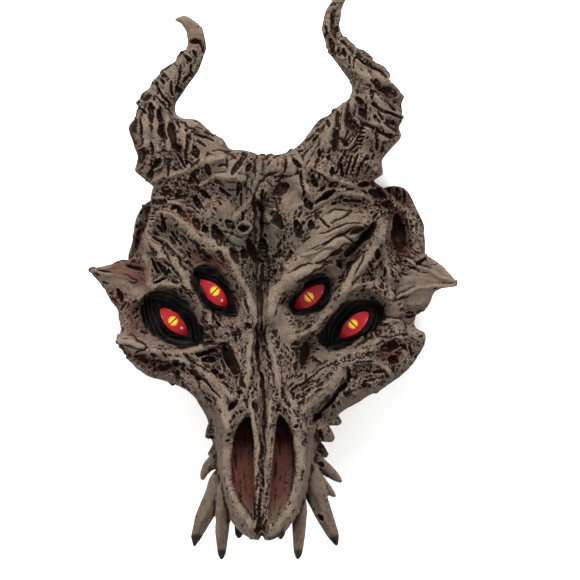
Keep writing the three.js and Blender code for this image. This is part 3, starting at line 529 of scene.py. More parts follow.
class Plan:
    """A fine grid of points over the mask's plan, that its relief and its paint are drawn on."""

    def __init__(self):
        self.x = np.arange(-PLAN_SIZE[0] / 2, PLAN_SIZE[0] / 2, DRAW_STEP)
        self.y = np.arange(-PLAN_SIZE[1] / 2, PLAN_SIZE[1] / 2, DRAW_STEP)
        self.straight_x, self.straight_y = np.meshgrid(self.x, self.y)
        self.lumps = self.cloud(6, 10)
        self.wander_x = self.straight_x + 1.1 * self.cloud(5, 11) + 0.25 * self.cloud(1.8, 12)
        self.wander_y = self.straight_y + 1.1 * self.cloud(5, 13) + 0.25 * self.cloud(1.8, 14)
        self.webs = ramp(self.cloud(1.7, 51), 0, 0.7)

    def blank(self):
        """A drawing with nothing on it."""
        return np.zeros(self.straight_x.shape)

    def near(self, line, reach):
        """The part of the grid round a line of points."""
        low_x = int((min(p[0] for p in line) - reach - self.x[0]) / DRAW_STEP)
        high_x = int((max(p[0] for p in line) + reach - self.x[0]) / DRAW_STEP) + 2
        low_y = int((min(p[1] for p in line) - reach - self.y[0]) / DRAW_STEP)
        high_y = int((max(p[1] for p in line) + reach - self.y[0]) / DRAW_STEP) + 2
        return slice(max(low_y, 0), high_y), slice(max(low_x, 0), high_x)

    def round_line(self, line, reach):
        """The part of the grid round a line, each point's distance from the line and place along it."""
        part = self.near(line, reach)
        distance, place = distance_to(line, self.wander_x[part], self.wander_y[part])
        return part, distance, place

    def enlarge(self, coarse, x, y):
        """Values on a coarse grid at x and y, read at every point of the plan."""
        rows = np.array([np.interp(self.x, x, row) for row in coarse])
        place = np.interp(self.y, y, np.arange(len(y)))
        low = np.minimum(place.astype(int), len(y) - 2)
        part = (place - low)[:, None]
        return rows[low] * (1 - part) + rows[low + 1] * part

    def cloud(self, size, seed):
        """Soft random blotches of about a size, mostly between -1 and 1."""
        x = np.arange(self.x[0] - size, self.x[-1] + 2 * size, size)
        y = np.arange(self.y[0] - size, self.y[-1] + 2 * size, size)
        coarse = np.random.default_rng(seed).uniform(-1, 1, (len(y), len(x)))
        return 1.4 * soften(self.enlarge(coarse, x, y), size / 3)

    def read(self, values, x, y):
        """A drawing read at places anywhere on the plan."""
        column = np.clip((x - self.x[0]) / DRAW_STEP, 0, len(self.x) - 1.001)
        row = np.clip((y - self.y[0]) / DRAW_STEP, 0, len(self.y) - 1.001)
        i = column.astype(int)
        j = row.astype(int)
        u = column - i
        v = row - j
        low = values[j, i] * (1 - u) + values[j, i + 1] * u
        high = values[j + 1, i] * (1 - u) + values[j + 1, i + 1] * u
        return low * (1 - v) + high * v

    def spots(self, places, edge):
        """Soft spots over capsules given as (x1, y1, x2, y2, half width)."""
        drawn = self.blank()
        for x1, y1, x2, y2, half in places:
            part, distance, _ = self.round_line([(x1, y1), (x2, y2)], half + edge)
            lay(drawn, part, 1 - ramp(distance, half - edge, half + edge))
        return drawn


ALL_PITS = (
    LEFT_HORN_PITS + LEFT_FOREHEAD_PITS + CENTRE_PITS + RIGHT_FOREHEAD_PITS + RIGHT_HORN_PITS
    + LEFT_SIDE_PITS + LEFT_CHEEK_PITS + RIGHT_CHEEK_PITS
)


def grain_of(plan):
    """The way that the sinews run at every point of the plan, as an angle."""
    x = plan.x[::10]
    y = plan.y[::10]
    grid_x, grid_y = np.meshgrid(x, y)
    cosine = np.full(grid_x.shape, -1e-4)
    sine = np.zeros(grid_x.shape)
    lines = [(line, 10) for line, _ in STRANDS]
    lines += [(horn, 14) for horn in HORNS]
    lines += [([p[:2], p[2:4]], 5) for p in ALL_PITS if math.dist(p[:2], p[2:4]) > 3]
    lines += [(line, 12) for line in THORNS] + [(line, 7) for line, _ in FANGS]
    for line, reach in lines:
        for a, b in zip(line, line[1:]):
            length = math.dist(a, b)
            angle = math.atan2(b[1] - a[1], b[0] - a[0])
            distance, _ = distance_to([a, b], grid_x, grid_y)
            pull = length * np.exp(-(distance / reach) ** 2)
            cosine += pull * math.cos(2 * angle)
            sine += pull * math.sin(2 * angle)
    size = np.hypot(cosine, sine)
    cosine = soften(plan.enlarge(cosine / size, x, y), 3)
    sine = soften(plan.enlarge(sine / size, x, y), 3)
    return 0.5 * np.arctan2(sine, cosine)


def cells(plan, grain, along, across, seed):
    """Long cells that follow the grain: how far each point is inside its cell, and the cell's number."""
    rng = np.random.default_rng(seed)
    pitch = math.sqrt(along * across)
    reach = 2
    columns = int(PLAN_SIZE[0] / pitch) + 2 * reach + 3
    rows = int(PLAN_SIZE[1] / pitch) + 2 * reach + 3
    shift_x = rng.uniform(0, 1, (rows, columns))
    shift_y = rng.uniform(0, 1, (rows, columns))
    seed_x = (np.arange(columns)[None, :] - reach + shift_x) * pitch + plan.x[0]
    seed_y = (np.arange(rows)[:, None] - reach + shift_y) * pitch + plan.y[0]
    number = rng.uniform(0, 1, (rows, columns))
    column = ((plan.straight_x - plan.x[0]) / pitch).astype(int) + reach
    row = ((plan.straight_y - plan.y[0]) / pitch).astype(int) + reach
    c = np.cos(grain)
    s = np.sin(grain)
    first = np.full(grain.shape, 1e9)
    second = np.full(grain.shape, 1e9)
    own = np.zeros(grain.shape)
    for dj in range(-reach, reach + 1):
        for di in range(-reach, reach + 1):
            dx = seed_x[row + dj, column + di] - plan.wander_x
            dy = seed_y[row + dj, column + di] - plan.wander_y
            distance = np.hypot((dx * c + dy * s) / along, (dy * c - dx * s) / across)
            nearer = distance < first
            second = np.where(nearer, first, np.minimum(second, distance))
            own = np.where(nearer, number[row + dj, column + di], own)
            first = np.where(nearer, distance, first)
    return second - first, own


def fibres(grain, seed, width, reach):
    """Fibres of about a width along the grain, from -1 in the grooves to 1 on the crests."""
    rows, columns = grain.shape
    noise = soften(np.random.default_rng(seed).uniform(-1, 1, grain.shape), width / 2)
    c = np.cos(grain)
    s = np.sin(grain)
    total = noise.copy()
    for way in (1, -1):
        x = np.broadcast_to(np.arange(columns, dtype=float), grain.shape).copy()
        y = np.broadcast_to(np.arange(rows, dtype=float)[:, None], grain.shape).copy()
        step_x = way * c
        step_y = way * s
        for _ in range(int(reach / DRAW_STEP / 1.6)):
            x += 1.6 * step_x
            y += 1.6 * step_y
            i = np.clip(np.rint(x).astype(int), 0, columns - 1)
            j = np.clip(np.rint(y).astype(int), 0, rows - 1)
            total += noise[j, i]
            turn_back = np.where(c[j, i] * step_x + s[j, i] * step_y < 0, -1, 1)
            step_x = turn_back * c[j, i]
            step_y = turn_back * s[j, i]
    return np.clip(total / (1.8 * total.std()), -1, 1)


def draw_pits(plan):
    """The single pits and slots: how deep they are, how dark their paint is, and the rim round each."""
    depth = plan.blank()
    dark = plan.blank()
    rim = plan.blank()
    for x1, y1, x2, y2, half in ALL_PITS:
        ends = [(x1, y1), (x2, y2)]
        part, distance, place = plan.round_line(ends, half + 3)
        wide = half * (0.6 + 0.5 * np.sin(math.pi * place)) + 0.25
        hole = 1 - ramp(distance / wide, 0.45, 1.15)
        edge = np.exp(-((distance - wide - 0.75) / 0.6) ** 2)
        lay(depth, part, hole * min(1.3 + 0.9 * half, 4.4))
        step = place * math.dist(*ends) / 2.8 + 0.8 * plan.lumps[part]
        rung = np.exp(-((step % 1 - 0.5) / 0.2) ** 2) * (math.dist(*ends) > 5) * (half < 3)
        rung = np.maximum(rung, plan.webs[part] * ramp(half - distance, 0.6, 1.8))
        depth[part] -= 0.9 * rung * hole
        paint = (1 - ramp(distance / wide, 0.65, 1.1)) * min(0.75 + 0.1 * half, 0.95) * (1 - 0.7 * rung)
        lay(dark, part, paint)
        lay(rim, part, edge)
    rim *= 1 - np.clip(1.4 * dark, 0, 1)
    return depth - 0.6 * rim, dark, rim


def draw_strands(plan):
    """The raised sinews: how high they stand, what they cover, and the grooves beside them."""
    height = plan.blank()
    cover = plan.blank()
    groove = plan.blank()
    for line, half in STRANDS:
        part, distance, place = plan.round_line(line, 2 * half + 4)
        wide = half * (0.7 + 0.4 * np.sin(math.pi * place)) * (1 + 0.25 * plan.lumps[part])
        bump = np.clip(1 - distance / (wide * 2.1), 0, 1) ** 1.15
        lay(height, part, bump * (1.3 + 0.85 * half) * (1 + 0.2 * plan.lumps[part]))
        lay(cover, part, 1 - ramp(distance / wide, 0.5, 1.5))
        edge = np.exp(-((distance - 1.7 * wide - 0.4) / 0.8) ** 2)
        lay(groove, part, 0.8 * edge * ramp(plan.lumps[part], -0.3, 0.5))
    return height, cover, groove * (1 - cover)


def draw_slabs(plan):
    """The pointed slabs and the knobs: how high they stand, what they cover, and the grooves."""
    height = plan.blank()
    cover = plan.blank()
    groove = plan.blank()
    for line, half, high in SLABS:
        part, distance, place = plan.round_line(line, half + 4)
        wide = np.maximum(half * (1 - place ** 3) * (0.75 + 0.35 * np.sin(math.pi * place)), 0.4)
        slab = 1 - ramp(distance / wide, 0.55, 1.25)
        lay(height, part, slab * high * ramp(place, 0, 0.55))
        lay(cover, part, slab)
        edge = np.exp(-((distance - 1.15 * wide - 0.4) / 0.9) ** 2) * ramp(place, 0.1, 0.5)
        lay(groove, part, edge)
    for x1, y1, x2, y2, half, high in KNOBS:
        part, distance, _ = plan.round_line([(x1, y1), (x2, y2)], half + 4)
        dome = np.sqrt(np.clip(1 - (distance / (1.1 * half)) ** 2, 0, 1))
        lay(height, part, dome * high)
        lay(groove, part, 0.7 * np.exp(-(distance - 1.15 * half) ** 2))
    return height, cover, groove


def draw_lids(plan):
    """The folds of the lids round each eye: how high they stand, and the black paint over them, with a
    painted highlight on their crests.
    """
    height = plan.blank()
    ink = plan.blank()
    for (_, x, y, turn, _, _, _, _), patch in zip(EYES, LIDS):
        u, v = turned(plan.straight_x + plan.lumps, plan.straight_y, x, y, turn)
        edge = 0.8 * (u / EYE["half_length"]) ** 2 + np.abs(v) / EYE["half_width"]
        edge += 0.15 * np.sin(u / 6 + 2.4 * np.sign(v)) + 0.1 * plan.lumps
        painted = soften(inside(patch, plan.wander_x, plan.wander_y).astype(float), 0.5)
        fold = np.cos((edge - 1.25) * 2 * math.pi / 0.62) * 0.5 + 0.5
        fine = np.cos((edge - 1.25) * 2 * math.pi / 0.2 + 2 * plan.lumps) * 0.5 + 0.5
        height += painted * (2.2 * fold ** 1.5 + 0.35 * fine - 0.8) * ramp(edge, 1.02, 1.35)
        # Painted highlight: the crests of the outer folds are a little less black
        fold_highlight = ramp(fold + 0.3 * fine, 0.95, 1.25) * ramp(edge, 1.2, 1.6)
        ink = np.maximum(ink, painted * (1 - 0.14 * fold_highlight))
    return height, ink


def mean_over(values, covered, radius):
    """The mean of a drawing round each point, over the mask alone."""
    return soften(values * covered, radius) / np.maximum(soften(covered, radius), 0.05)


def draw_relief(plan, top, covered):
    """All that is drawn on the face: its relief in millimetres, and its layers of paint from 0 to 1.
    top is the height of the bare form over the rim, and covered is 1 over the mask and 0 beside it."""
    grain = grain_of(plan)
    fibre = fibres(grain, 41, **FIBRE)
    sinew = fibres(grain, 42, **SINEW)
    pit_depth, pit_dark, pit_rim = draw_pits(plan)
    strand_height, strand_cover, strand_groove = draw_strands(plan)
    slab_height, slab_cover, slab_groove = draw_slabs(plan)
    lid_height, ink = draw_lids(plan)

    # The teeth and plates are smooth, and the lids and nostrils carry no holes
    teeth = [line for line, _ in FANGS] + SIDE_TEETH
    teeth = [(*a, *b, 6) for line in teeth for a, b in zip(line, line[1:])]
    teeth = plan.spots(teeth, 2) * ramp(-plan.straight_y, *TEETH_FROM) * (1 - plan.spots(SNOUT, 3))
    plates = plan.spots(PLATES, 3)
    smooth = np.maximum.reduce([plates, 0.8 * strand_cover, slab_cover, teeth])
    nostrils = plan.blank()
    for outline in NOSTRILS:
        nostrils += soften(inside(outline, plan.straight_x, plan.straight_y).astype(float), 0.6)
    nostrils = np.clip(nostrils, 0, 1)
    spongy = plan.spots(SPONGY, 5)
    uncovered = (1 - ink) * (1 - nostrils)
    bare = (1 - 0.85 * smooth) * uncovered
    near_fissure, _ = distance_to(FISSURE, plan.wander_x, plan.wander_y)
    bare *= 1 - 0.6 * np.exp(-(near_fissure / 4) ** 2)

    # Holes of two sizes between the single pits, each with a raised rim
    clumps = ramp(plan.cloud(13, 33), -0.7, 0.5)
    horns = ramp(plan.straight_y, *HORN_FOOT)
    wide, wide_own = cells(plan, grain, *WIDE_PITCH, 21)
    wide_few = ramp(wide_own + 0.22 * clumps - 0.1 * horns, 0.8, 0.84) * bare
    wide_hole = ramp(wide, 0.22, 0.4) * wide_few * (1 - 0.5 * plan.webs)
    small, small_own = cells(plan, grain, *SMALL_PITCH, 22)
    small_few = ramp(small_own + 0.35 * spongy + 0.12 * clumps, 0.84, 0.9) * bare
    small_hole = ramp(small, 0.2, 0.42) * small_few
    wide_rim = wide_few * (1 - ramp(wide, 0.05, 0.22))
    small_rim = 0.7 * small_few * (1 - ramp(small, 0.04, 0.2))
    rims = np.maximum(soften(np.maximum(wide_rim, small_rim), 0.4), pit_rim) * bare

    # Furrows between the sinews, the fissure down the face, and the channel and fold that end it
    furrow = ramp(-sinew, 0.1, 0.75) * (1 - 0.7 * spongy) * bare
    near_channel, _ = distance_to(CHANNEL, plan.wander_x, plan.wander_y)
    fissure = np.exp(-(near_fissure / 0.9) ** 2) * (1 - 0.5 * ramp(-plan.straight_y, *FISSURE_FADES))
    channel = (1 - ramp(near_channel, 1.4, 3.0)) * (1 - nostrils)
    chin = np.exp(-((plan.wander_x - CHIN_X) / 1.5) ** 2) * ramp(-plan.straight_y, *CHIN_FOLD)
    sinew_height = HEIGHTS["sinew"] + HEIGHTS["horn_sinew"] * horns
    relief = (
        strand_height + slab_height - pit_depth + lid_height
        - HEIGHTS["wide_hole"] * wide_hole - HEIGHTS["small_hole"] * small_hole + HEIGHTS["rim"] * rims
        - HEIGHTS["groove"] * (strand_groove + slab_groove) * (1 - ink)
        + HEIGHTS["broad_lumps"] * plan.cloud(8, 32) + HEIGHTS["small_lumps"] * plan.cloud(3, 34)
        + (HEIGHTS["fibre"] * fibre + sinew_height * sinew * (1 - 0.6 * spongy))
        * uncovered * (1 - 0.4 * smooth)
        + HEIGHTS["lining"] * fibre * nostrils - HEIGHTS["fissure"] * fissure
        - HEIGHTS["channel"] * channel - HEIGHTS["chin"] * chin
    )

    # What lies lower or higher than the surface round it, near and far
    formed = top + relief
    near_mean = mean_over(formed, covered, 1.2)
    far_mean = mean_over(formed, covered, 6)
    groove = ramp(near_mean - formed, 0, 0.8)
    # Painted shade: broad valleys, lower than the surface 6 mm round, are darkened
    valley = ramp(far_mean - formed, 0.5, 8) * (1 - 0.7 * plan.spots(VALLEY, 12))
    crest = ramp(formed - near_mean, 0.05, 0.8)

    # The brown wash lies in the hollows, and the dry-brushed bone on the crests
    wash_and_shade = (
        pit_dark + 0.9 * wide_hole + 0.8 * small_hole + 0.6 * groove + (0.35 + 0.35 * horns) * furrow
        + 0.45 * strand_groove + 0.6 * slab_groove + 0.9 * fissure + 0.25 * channel + 0.9 * chin
        - (0.1 + 0.15 * horns) * fibre - 0.15 - 0.3 * rims
    )
    wash_and_shade = np.clip(wash_and_shade * (1 - 0.45 * channel) - 0.3 * fibre * nostrils, 0, 1) * (1 - 0.35 * nostrils)
    light = 0.6 * strand_cover + 0.7 * slab_cover + 0.35 * plates + 0.6 * crest + 0.6 * rims
    light = np.clip(light + 0.25 * fibre - 0.15, 0, 1) * (1 - wash_and_shade)
    throat = nostrils * ramp(plan.straight_y, *THROAT)
    return {
        "relief": relief,
        "wash_and_shade": wash_and_shade,
        "shade": np.clip(valley, 0, 1) * (1 - nostrils),
        "light": light,
        "bare": bare,
        "spongy": spongy,
        "ink": np.maximum(ink, 0.7 * throat),
        "top": top,
        "raw": nostrils * ramp(plan.straight_y, *NOSTRIL_ENDS) * (0.85 + 0.15 * fibre),
        "red": plan.spots(RED_STAINS, 3),
        "violet": plan.spots(VIOLET_STAINS, 2.5),
        "green": plan.spots(GREEN_STAINS, 6),
        "web": HEIGHTS["wide_hole"] * wide_hole + 0.9 * small_hole,
    }


def fang_tips(plan, top, points):
    """The dark ends of the fangs: the paint round each end, no higher or lower than the fang."""
    tips = np.zeros(len(points))
    for line, dark_length in FANGS:
        (root_x, root_y), (end_x, end_y) = line[-2:]
        # The fang's height is read a little short of its end
        x = np.array([0.4 * root_x + 0.6 * end_x])
        y = np.array([0.4 * root_y + 0.6 * end_y])
        height = plan.read(top, x, y)
        distance = np.hypot(points[:, 0] - end_x, points[:, 1] - end_y)
        near = 1 - ramp(distance, TIP["full"] * dark_length, TIP["none"] * dark_length)
        level = 1 - ramp(np.abs(points[:, 2] - height + TIP["middle"]), *TIP["reach"])
        tips = np.maximum(tips, near * level)
    return tips


def top_of(plan, points, normals):
    """The height of the mask over every point of the plan, and where there is any mask."""
    step = 1.6
    x = np.arange(plan.x[0], plan.x[-1] + step, step)
    y = np.arange(plan.y[0], plan.y[-1] + step, step)
    grid = np.zeros((len(y), len(x)))
    seen = normals[:, 2] > 0
    column = np.rint((points[seen, 0] - x[0]) / step).astype(int)
    row = np.rint((points[seen, 1] - y[0]) / step).astype(int)
    np.maximum.at(grid, (row, column), points[seen, 2])
    return plan.enlarge(grid, x, y), plan.enlarge((grid > 0).astype(float), x, y)


def settle(piece):
    """Make a piece's modifiers part of its mesh."""
    ready = piece.evaluated_get(bpy.context.evaluated_depsgraph_get())
    mesh = bpy.data.meshes.new_from_object(ready)
    old = piece.data
    piece.modifiers.clear()
    piece.data = mesh
    mesh.name = piece.name
    bpy.data.meshes.remove(old)


def place_in_scene(name, data):
    """A new object for a mesh, a lamp or a camera."""
    item = bpy.data.objects.new(name, data)
    bpy.context.collection.objects.link(item)
    return item


def finish_form(form, name):
    """A new object from a bmesh form, which is freed."""
    mesh = bpy.data.meshes.new(name)
    form.to_mesh(mesh)
    form.free()
    return place_in_scene(name, mesh)


def copy_of(node, name):
    """A merged copy of a CAD node as a new piece."""
    form = bmesh.new()
    form.from_mesh(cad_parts[node].data)
    bmesh.ops.remove_doubles(form, verts=form.verts[:], dist=0.01 * MM)
    return finish_form(form, name)


def values_of(items, name, width, kind=np.float32):
    """One value of each of a mesh's items, as rows of a width."""
    flat = np.zeros(len(items) * width, kind)
    items.foreach_get(name, flat)
    return flat.reshape(-1, width)


def points_of(mesh):
    """The mesh's vertices in millimetres."""
    return values_of(mesh.vertices, "co", 3).astype(float) / MM


def move_to(mesh, points):
    """Move the mesh's vertices to places in millimetres."""
    mesh.vertices.foreach_set("co", (points * MM).astype(np.float32).ravel())
    mesh.update()


def normals_of(mesh):
    """The direction that the mesh faces at each vertex."""
    return values_of(mesh.vertex_normals, "vector", 3).astype(float)


def edges_of(mesh):
    """The two vertices of each of the mesh's edges."""
    return values_of(mesh.edges, "vertices", 2, np.int32)


def relax(points, edges, share, times):
    """Move every point towards the middle of its neighbours by its share, so many times."""
    count = len(points)
    ends = np.concatenate([edges[:, 0], edges[:, 1]])
    others = np.concatenate([edges[:, 1], edges[:, 0]])
    degree = np.maximum(np.bincount(ends, minlength=count), 1)
    share = np.asarray(share)
    for _ in range(times):
        moved = points.copy()
        for k in range(3):
            mean = np.bincount(ends, points[others, k], minlength=count) / degree
            moved[:, k] += share * (mean - points[:, k])
        points = moved
    return points


def untucked(points):
    """Where points of the leaning side walls would be if the walls stood straight."""
    muzzle = ramp(-points[:, 1], MUZZLE_TUCK["from"], MUZZLE_TUCK["to"])
    share = TUCK["share"] + (MUZZLE_TUCK["share"] - TUCK["share"]) * muzzle
    height = TUCK["height"] + (MUZZLE_TUCK["height"] - TUCK["height"]) * muzzle
    scale = 1 - share * np.clip(1 - points[:, 2] / height, 0, 1) ** 2
    return TUCK["x"] + (points[:, 0] - TUCK["x"]) / scale, TUCK["y"] + (points[:, 1] - TUCK["y"]) / scale


def push_lips(points, edges):
    """Draw the lips out of the horn's edge: each grows slowly down the horn and ends in a round."""
    lips = np.zeros(len(points))
    for x, y, out in LIPS:
        along = DOWN_HORN[0] * (points[:, 0] - x) + DOWN_HORN[1] * (points[:, 1] - y)
        aside = -DOWN_HORN[1] * (points[:, 0] - x) + DOWN_HORN[0] * (points[:, 1] - y)
        length = np.where(along < 0, LIP["grows"], LIP["ends"])
        share = np.exp(-(along / length) ** 2 - (aside / LIP["half_width"]) ** 2)
        points[:, 0] += out * OUT_OF_HORN[0] * share
        points[:, 1] += out * OUT_OF_HORN[1] * share
        lips = np.maximum(lips, share)
    return relax(points, edges, 0.5 * ramp(lips, 0.3, 0.7), ROUNDS["lips"])


def notch_chin(points):
    """Draw the middle of the chin's edge in by 4 mm."""
    notch = np.exp(-((points[:, 0] - CHIN_X) / 1.8) ** 2)
    points[:, 1] += 4 * notch * ramp(-points[:, 1], *CHIN_EDGE)


def back_of(plan, points, normals, top):
    """Where points belong to the open back: the hollow's walls and ceiling, and the rim under it."""
    x, y = untucked(points)
    grown = [(p[0] * 1.02 - 0.2, p[1] * 1.02) for p in HOLLOW]
    under = points[:, 2] < plan.read(top, points[:, 0], points[:, 1]) - 3.2
    to_axis = HOLLOW_AXIS - points[:, 0]
    to_spine = normals[:, 0] * to_axis
    to_middle = to_spine + normals[:, 1] * (HOLLOW_MIDDLE - points[:, 1])
    inward = (to_spine > 0) | (to_middle > 0) | (normals[:, 2] < -0.5)
    within = inside(grown, x, y) & (normals[:, 2] < 0.35) & under & inward
    for outline in NOSTRILS:
        near, _ = distance_to(outline + outline[:1], points[:, 0], points[:, 1])
        seen = inside(outline, points[:, 0], points[:, 1]) | (near < 2.5)
        within &= ~(seen & (points[:, 2] > NOSTRIL_FLOOR))
    rim = (points[:, 2] < 0.6) & (normals[:, 2] < -0.5)
    return within | rim


def stored(mesh, name):
    """The values of a named attribute at the vertices."""
    return values_of(mesh.attributes[name].data, "value", 1)[:, 0].astype(float)


def store(mesh, name, values):
    """Keep one value for each vertex as a named attribute."""
    layer = mesh.attributes.get(name) or mesh.attributes.new(name, "FLOAT", "POINT")
    layer.data.foreach_set("value", np.asarray(values, np.float32))


def add_node(tree, kind, settings=None, **inputs):
    """Add a shader node with its settings, and give its inputs values or other nodes' outputs.
    An input goes by its name, with _ for a space, or by its number, as in i6."""
    node = tree.nodes.new(kind)
    for name, value in (settings or {}).items():
        setattr(node, name, value)
    for name, value in inputs.items():
        key = int(name[1:]) if name[0] == "i" and name[1:].isdigit() else name.replace("_", " ")
        if isinstance(value, bpy.types.NodeSocket):
            tree.links.new(value, node.inputs[key])
        else:
            node.inputs[key].default_value = value
    return node


def new_material(name):
    """A material with an empty node tree."""
    material = bpy.data.materials.new(name)
    material.use_nodes = True
    material.node_tree.nodes.clear()
    return material, material.node_tree


# Foam latex, cast in a mould, brushed with a brown wash and dry-brushed with bone. It is matt, the
# wash stays in the pits, and the raised sinews are the lightest.
# The valleys, the steep faces and the low sides are darkened in the wash colour as painted shade.
def painted_latex(settings):
    material, tree = new_material("painted_foam_latex")
    place = add_node(tree, "ShaderNodeTexCoord").outputs["Object"]
    coat = {}
    for name in COATS:
        coat[name] = add_node(tree, "ShaderNodeAttribute", {"attribute_name": name}).outputs["Fac"]
    # Random patterns: the size of their blotches in millimetres, and their detail. Pores of the
    # casting are about 0.5 mm, drawn at 1 mm so that they show.
    noise = {}
    for name, size, detail in (
        ("pull", 2, 2), ("blotch", 6, 5), ("grit", 0.9, 2), ("brushed", 1.2, 3), ("pores", 1.0, 3),
    ):
        noise[name] = add_node(
            tree, "ShaderNodeTexNoise",
            Vector=place, Scale=1 / (size * MM), Detail=detail, Roughness=0.6,
        )
    plus = {"operation": "ADD", "use_clamp": True}
    minus = {"operation": "SUBTRACT", "use_clamp": True}
    times = {"operation": "MULTIPLY", "use_clamp": True}

    # Fine pits lie about 2.4 mm apart and are up to 1.6 mm wide, pulled out of true by a 2 mm noise.
    # They are in some cells of a net only, most of all where the skin is spongy and bare.
    pull = add_node(
        tree, "ShaderNodeVectorMath", {"operation": "SCALE"},
        i0=noise["pull"].outputs["Color"], Scale=2.2 * MM,
    ).outputs[0]
    bent = add_node(tree, "ShaderNodeVectorMath", {"operation": "ADD"}, i0=place, i1=pull).outputs[0]
    net = {"Vector": bent, "Scale": 1 / (2.4 * MM), "Randomness": 1.0}
    border = add_node(tree, "ShaderNodeTexVoronoi", {"feature": "DISTANCE_TO_EDGE"}, **net)
    cell = add_node(tree, "ShaderNodeTexVoronoi", **net)
    spongy = add_node(tree, "ShaderNodeMath", times, i0=coat["spongy"], i1=0.2).outputs[0]
    chance = add_node(tree, "ShaderNodeMath", plus, i0=cell.outputs["Color"], i1=spongy).outputs[0]
    chosen = add_node(tree, "ShaderNodeMapRange", Value=chance, From_Min=0.42, From_Max=0.48).outputs[0]
    inner = add_node(
        tree, "ShaderNodeMapRange", Value=border.outputs["Distance"], From_Min=0.1, From_Max=0.2,
    ).outputs[0]
    hole = add_node(tree, "ShaderNodeMath", times, i0=inner, i1=chosen).outputs[0]
    hole = add_node(tree, "ShaderNodeMath", times, i0=hole, i1=coat["bare"]).outputs[0]

    # The edge of the wash is broken by a 1.2 mm noise, as a brush leaves it
    brushed = add_node(tree, "ShaderNodeMath", times, i0=noise["brushed"].outputs["Fac"], i1=0.6)
    ragged = add_node(tree, "ShaderNodeMath", plus, i0=coat["wash_and_shade"], i1=brushed.outputs[0]).outputs[0]
    ragged_wash_and_shade = add_node(tree, "ShaderNodeMapRange", Value=ragged, From_Min=0.56, From_Max=0.8).outputs[0]
    filled = add_node(tree, "ShaderNodeMath", times, i0=hole, i1=0.85).outputs[0]
    grit = add_node(
        tree, "ShaderNodeMapRange",
        Value=noise["grit"].outputs["Fac"], From_Min=0.5, From_Max=0.62, To_Max=0.45,
    ).outputs[0]
    # The wash with its painted shade on steep faces, the fine pits and the grit, all in the wash colour
    wash_grit_and_shade = add_node(tree, "ShaderNodeMath", plus, i0=ragged_wash_and_shade, i1=filled).outputs[0]
    wash_grit_and_shade = add_node(tree, "ShaderNodeMath", plus, i0=wash_grit_and_shade, i1=grit).outputs[0]
    wash_grit_and_shade = add_node(tree, "ShaderNodeMath", times, i0=wash_grit_and_shade, i1=0.97).outputs[0]
    shade = add_node(tree, "ShaderNodeMath", times, i0=coat["shade"], i1=0.6).outputs[0]
    edges = add_node(tree, "ShaderNodeMath", times, i0=coat["light"], i1=0.8).outputs[0]
    grey = add_node(
        tree, "ShaderNodeMapRange", Value=noise["blotch"].outputs["Fac"], From_Min=0.42, From_Max=0.62,
    ).outputs[0]

    # The coats from the first to the last: where each lies, and its colour
    colour = (*settings.bone, 1)
    for amount, paint in (
        (coat["light"], settings.bone_light),
        (grey, settings.bone_grey),
        (edges, settings.bone_light),
        (coat["green"], settings.green),
        (coat["red"], settings.red),
        (coat["violet"], settings.violet),
        (coat["raw"], settings.raw),
        # painted shade in the valleys and low on the sides
        (shade, settings.wash_and_shade),
        # the wash, with painted shade on steep faces, the fine pits and the grit
        (wash_grit_and_shade, settings.wash_and_shade),
        (coat["ink"], settings.ink),
        (coat["back"], settings.back),
    ):
        colour = add_node(
            tree, "ShaderNodeMix", {"data_type": "RGBA"}, i0=amount, i6=colour, i7=(*paint, 1),
        ).outputs[2]

    pores = add_node(tree, "ShaderNodeMath", minus, i0=noise["pores"].outputs["Fac"], i1=hole).outputs[0]
    bump = add_node(tree, "ShaderNodeBump", Height=pores, Strength=0.7, Distance=0.6 * MM).outputs[0]
    # The lids are varnished over their black paint
    gloss = add_node(
        tree, "ShaderNodeMapRange",
        Value=coat["ink"], From_Min=0.5, From_Max=0.95, To_Min=0.85, To_Max=0.4,
    ).outputs[0]
    shader = add_node(
        tree, "ShaderNodeBsdfPrincipled",
        Base_Color=colour, Normal=bump, Roughness=gloss, IOR=1.45, Specular_IOR_Level=0.06,
    )
    add_node(tree, "ShaderNodeOutputMaterial", Surface=shader.outputs[0])
    return material


class SkinSettings(bpy.types.PropertyGroup):
    voxel: bpy.props.FloatProperty(
        name="Voxel", description="Size of the cells that the skin is first built from",
        default=0.65 * MM, min=0.4 * MM, unit="LENGTH",
    )
    triangles: bpy.props.IntProperty(
        name="Triangles", description="Most triangles that each piece of the skin has", default=190000,
    )
    relief: bpy.props.FloatProperty(
        name="Relief", description="Strength of the pits, sinews and folds", default=1.0,
        subtype="FACTOR",
    )
    bone: bpy.props.FloatVectorProperty(
        name="Bone", description="Base coat", subtype="COLOR", default=linear("#4f4338"),
    )
    bone_light: bpy.props.FloatVectorProperty(
        name="Light bone", description="Dry-brushed edges", subtype="COLOR", default=linear("#594e43"),
    )
    bone_grey: bpy.props.FloatVectorProperty(
        name="Grey bone", description="Cooler patches of the base coat", subtype="COLOR",
        default=linear("#493e38"),
    )
    # This colour also paints the shade in the valleys, on steep faces and low on the sides
    wash_and_shade: bpy.props.FloatVectorProperty(
        name="Wash", description="Brown wash in the pits", subtype="COLOR", default=linear("#140a05"),
    )
    red: bpy.props.FloatVectorProperty(
        name="Red", description="Raw flesh in the thin places", subtype="COLOR",
        default=linear("#3b1914"),
    )
    raw: bpy.props.FloatVectorProperty(
        name="Nostril", description="Raw lining of the nostrils", subtype="COLOR",
        default=linear("#40201a"),
    )
    violet: bpy.props.FloatVectorProperty(
        name="Violet", description="Bruised hollows", subtype="COLOR", default=linear("#281d20"),
    )
    green: bpy.props.FloatVectorProperty(
        name="Green grey", description="Shade in the valley of the forehead", subtype="COLOR",
        default=linear("#33332b"),
    )
    ink: bpy.props.FloatVectorProperty(
        name="Black", description="Lids and fang tips", subtype="COLOR", default=linear("#020101"),
    )
    back: bpy.props.FloatVectorProperty(
        name="Back", description="Bare latex of the open back", subtype="COLOR",
        default=linear("#524839"),
    )


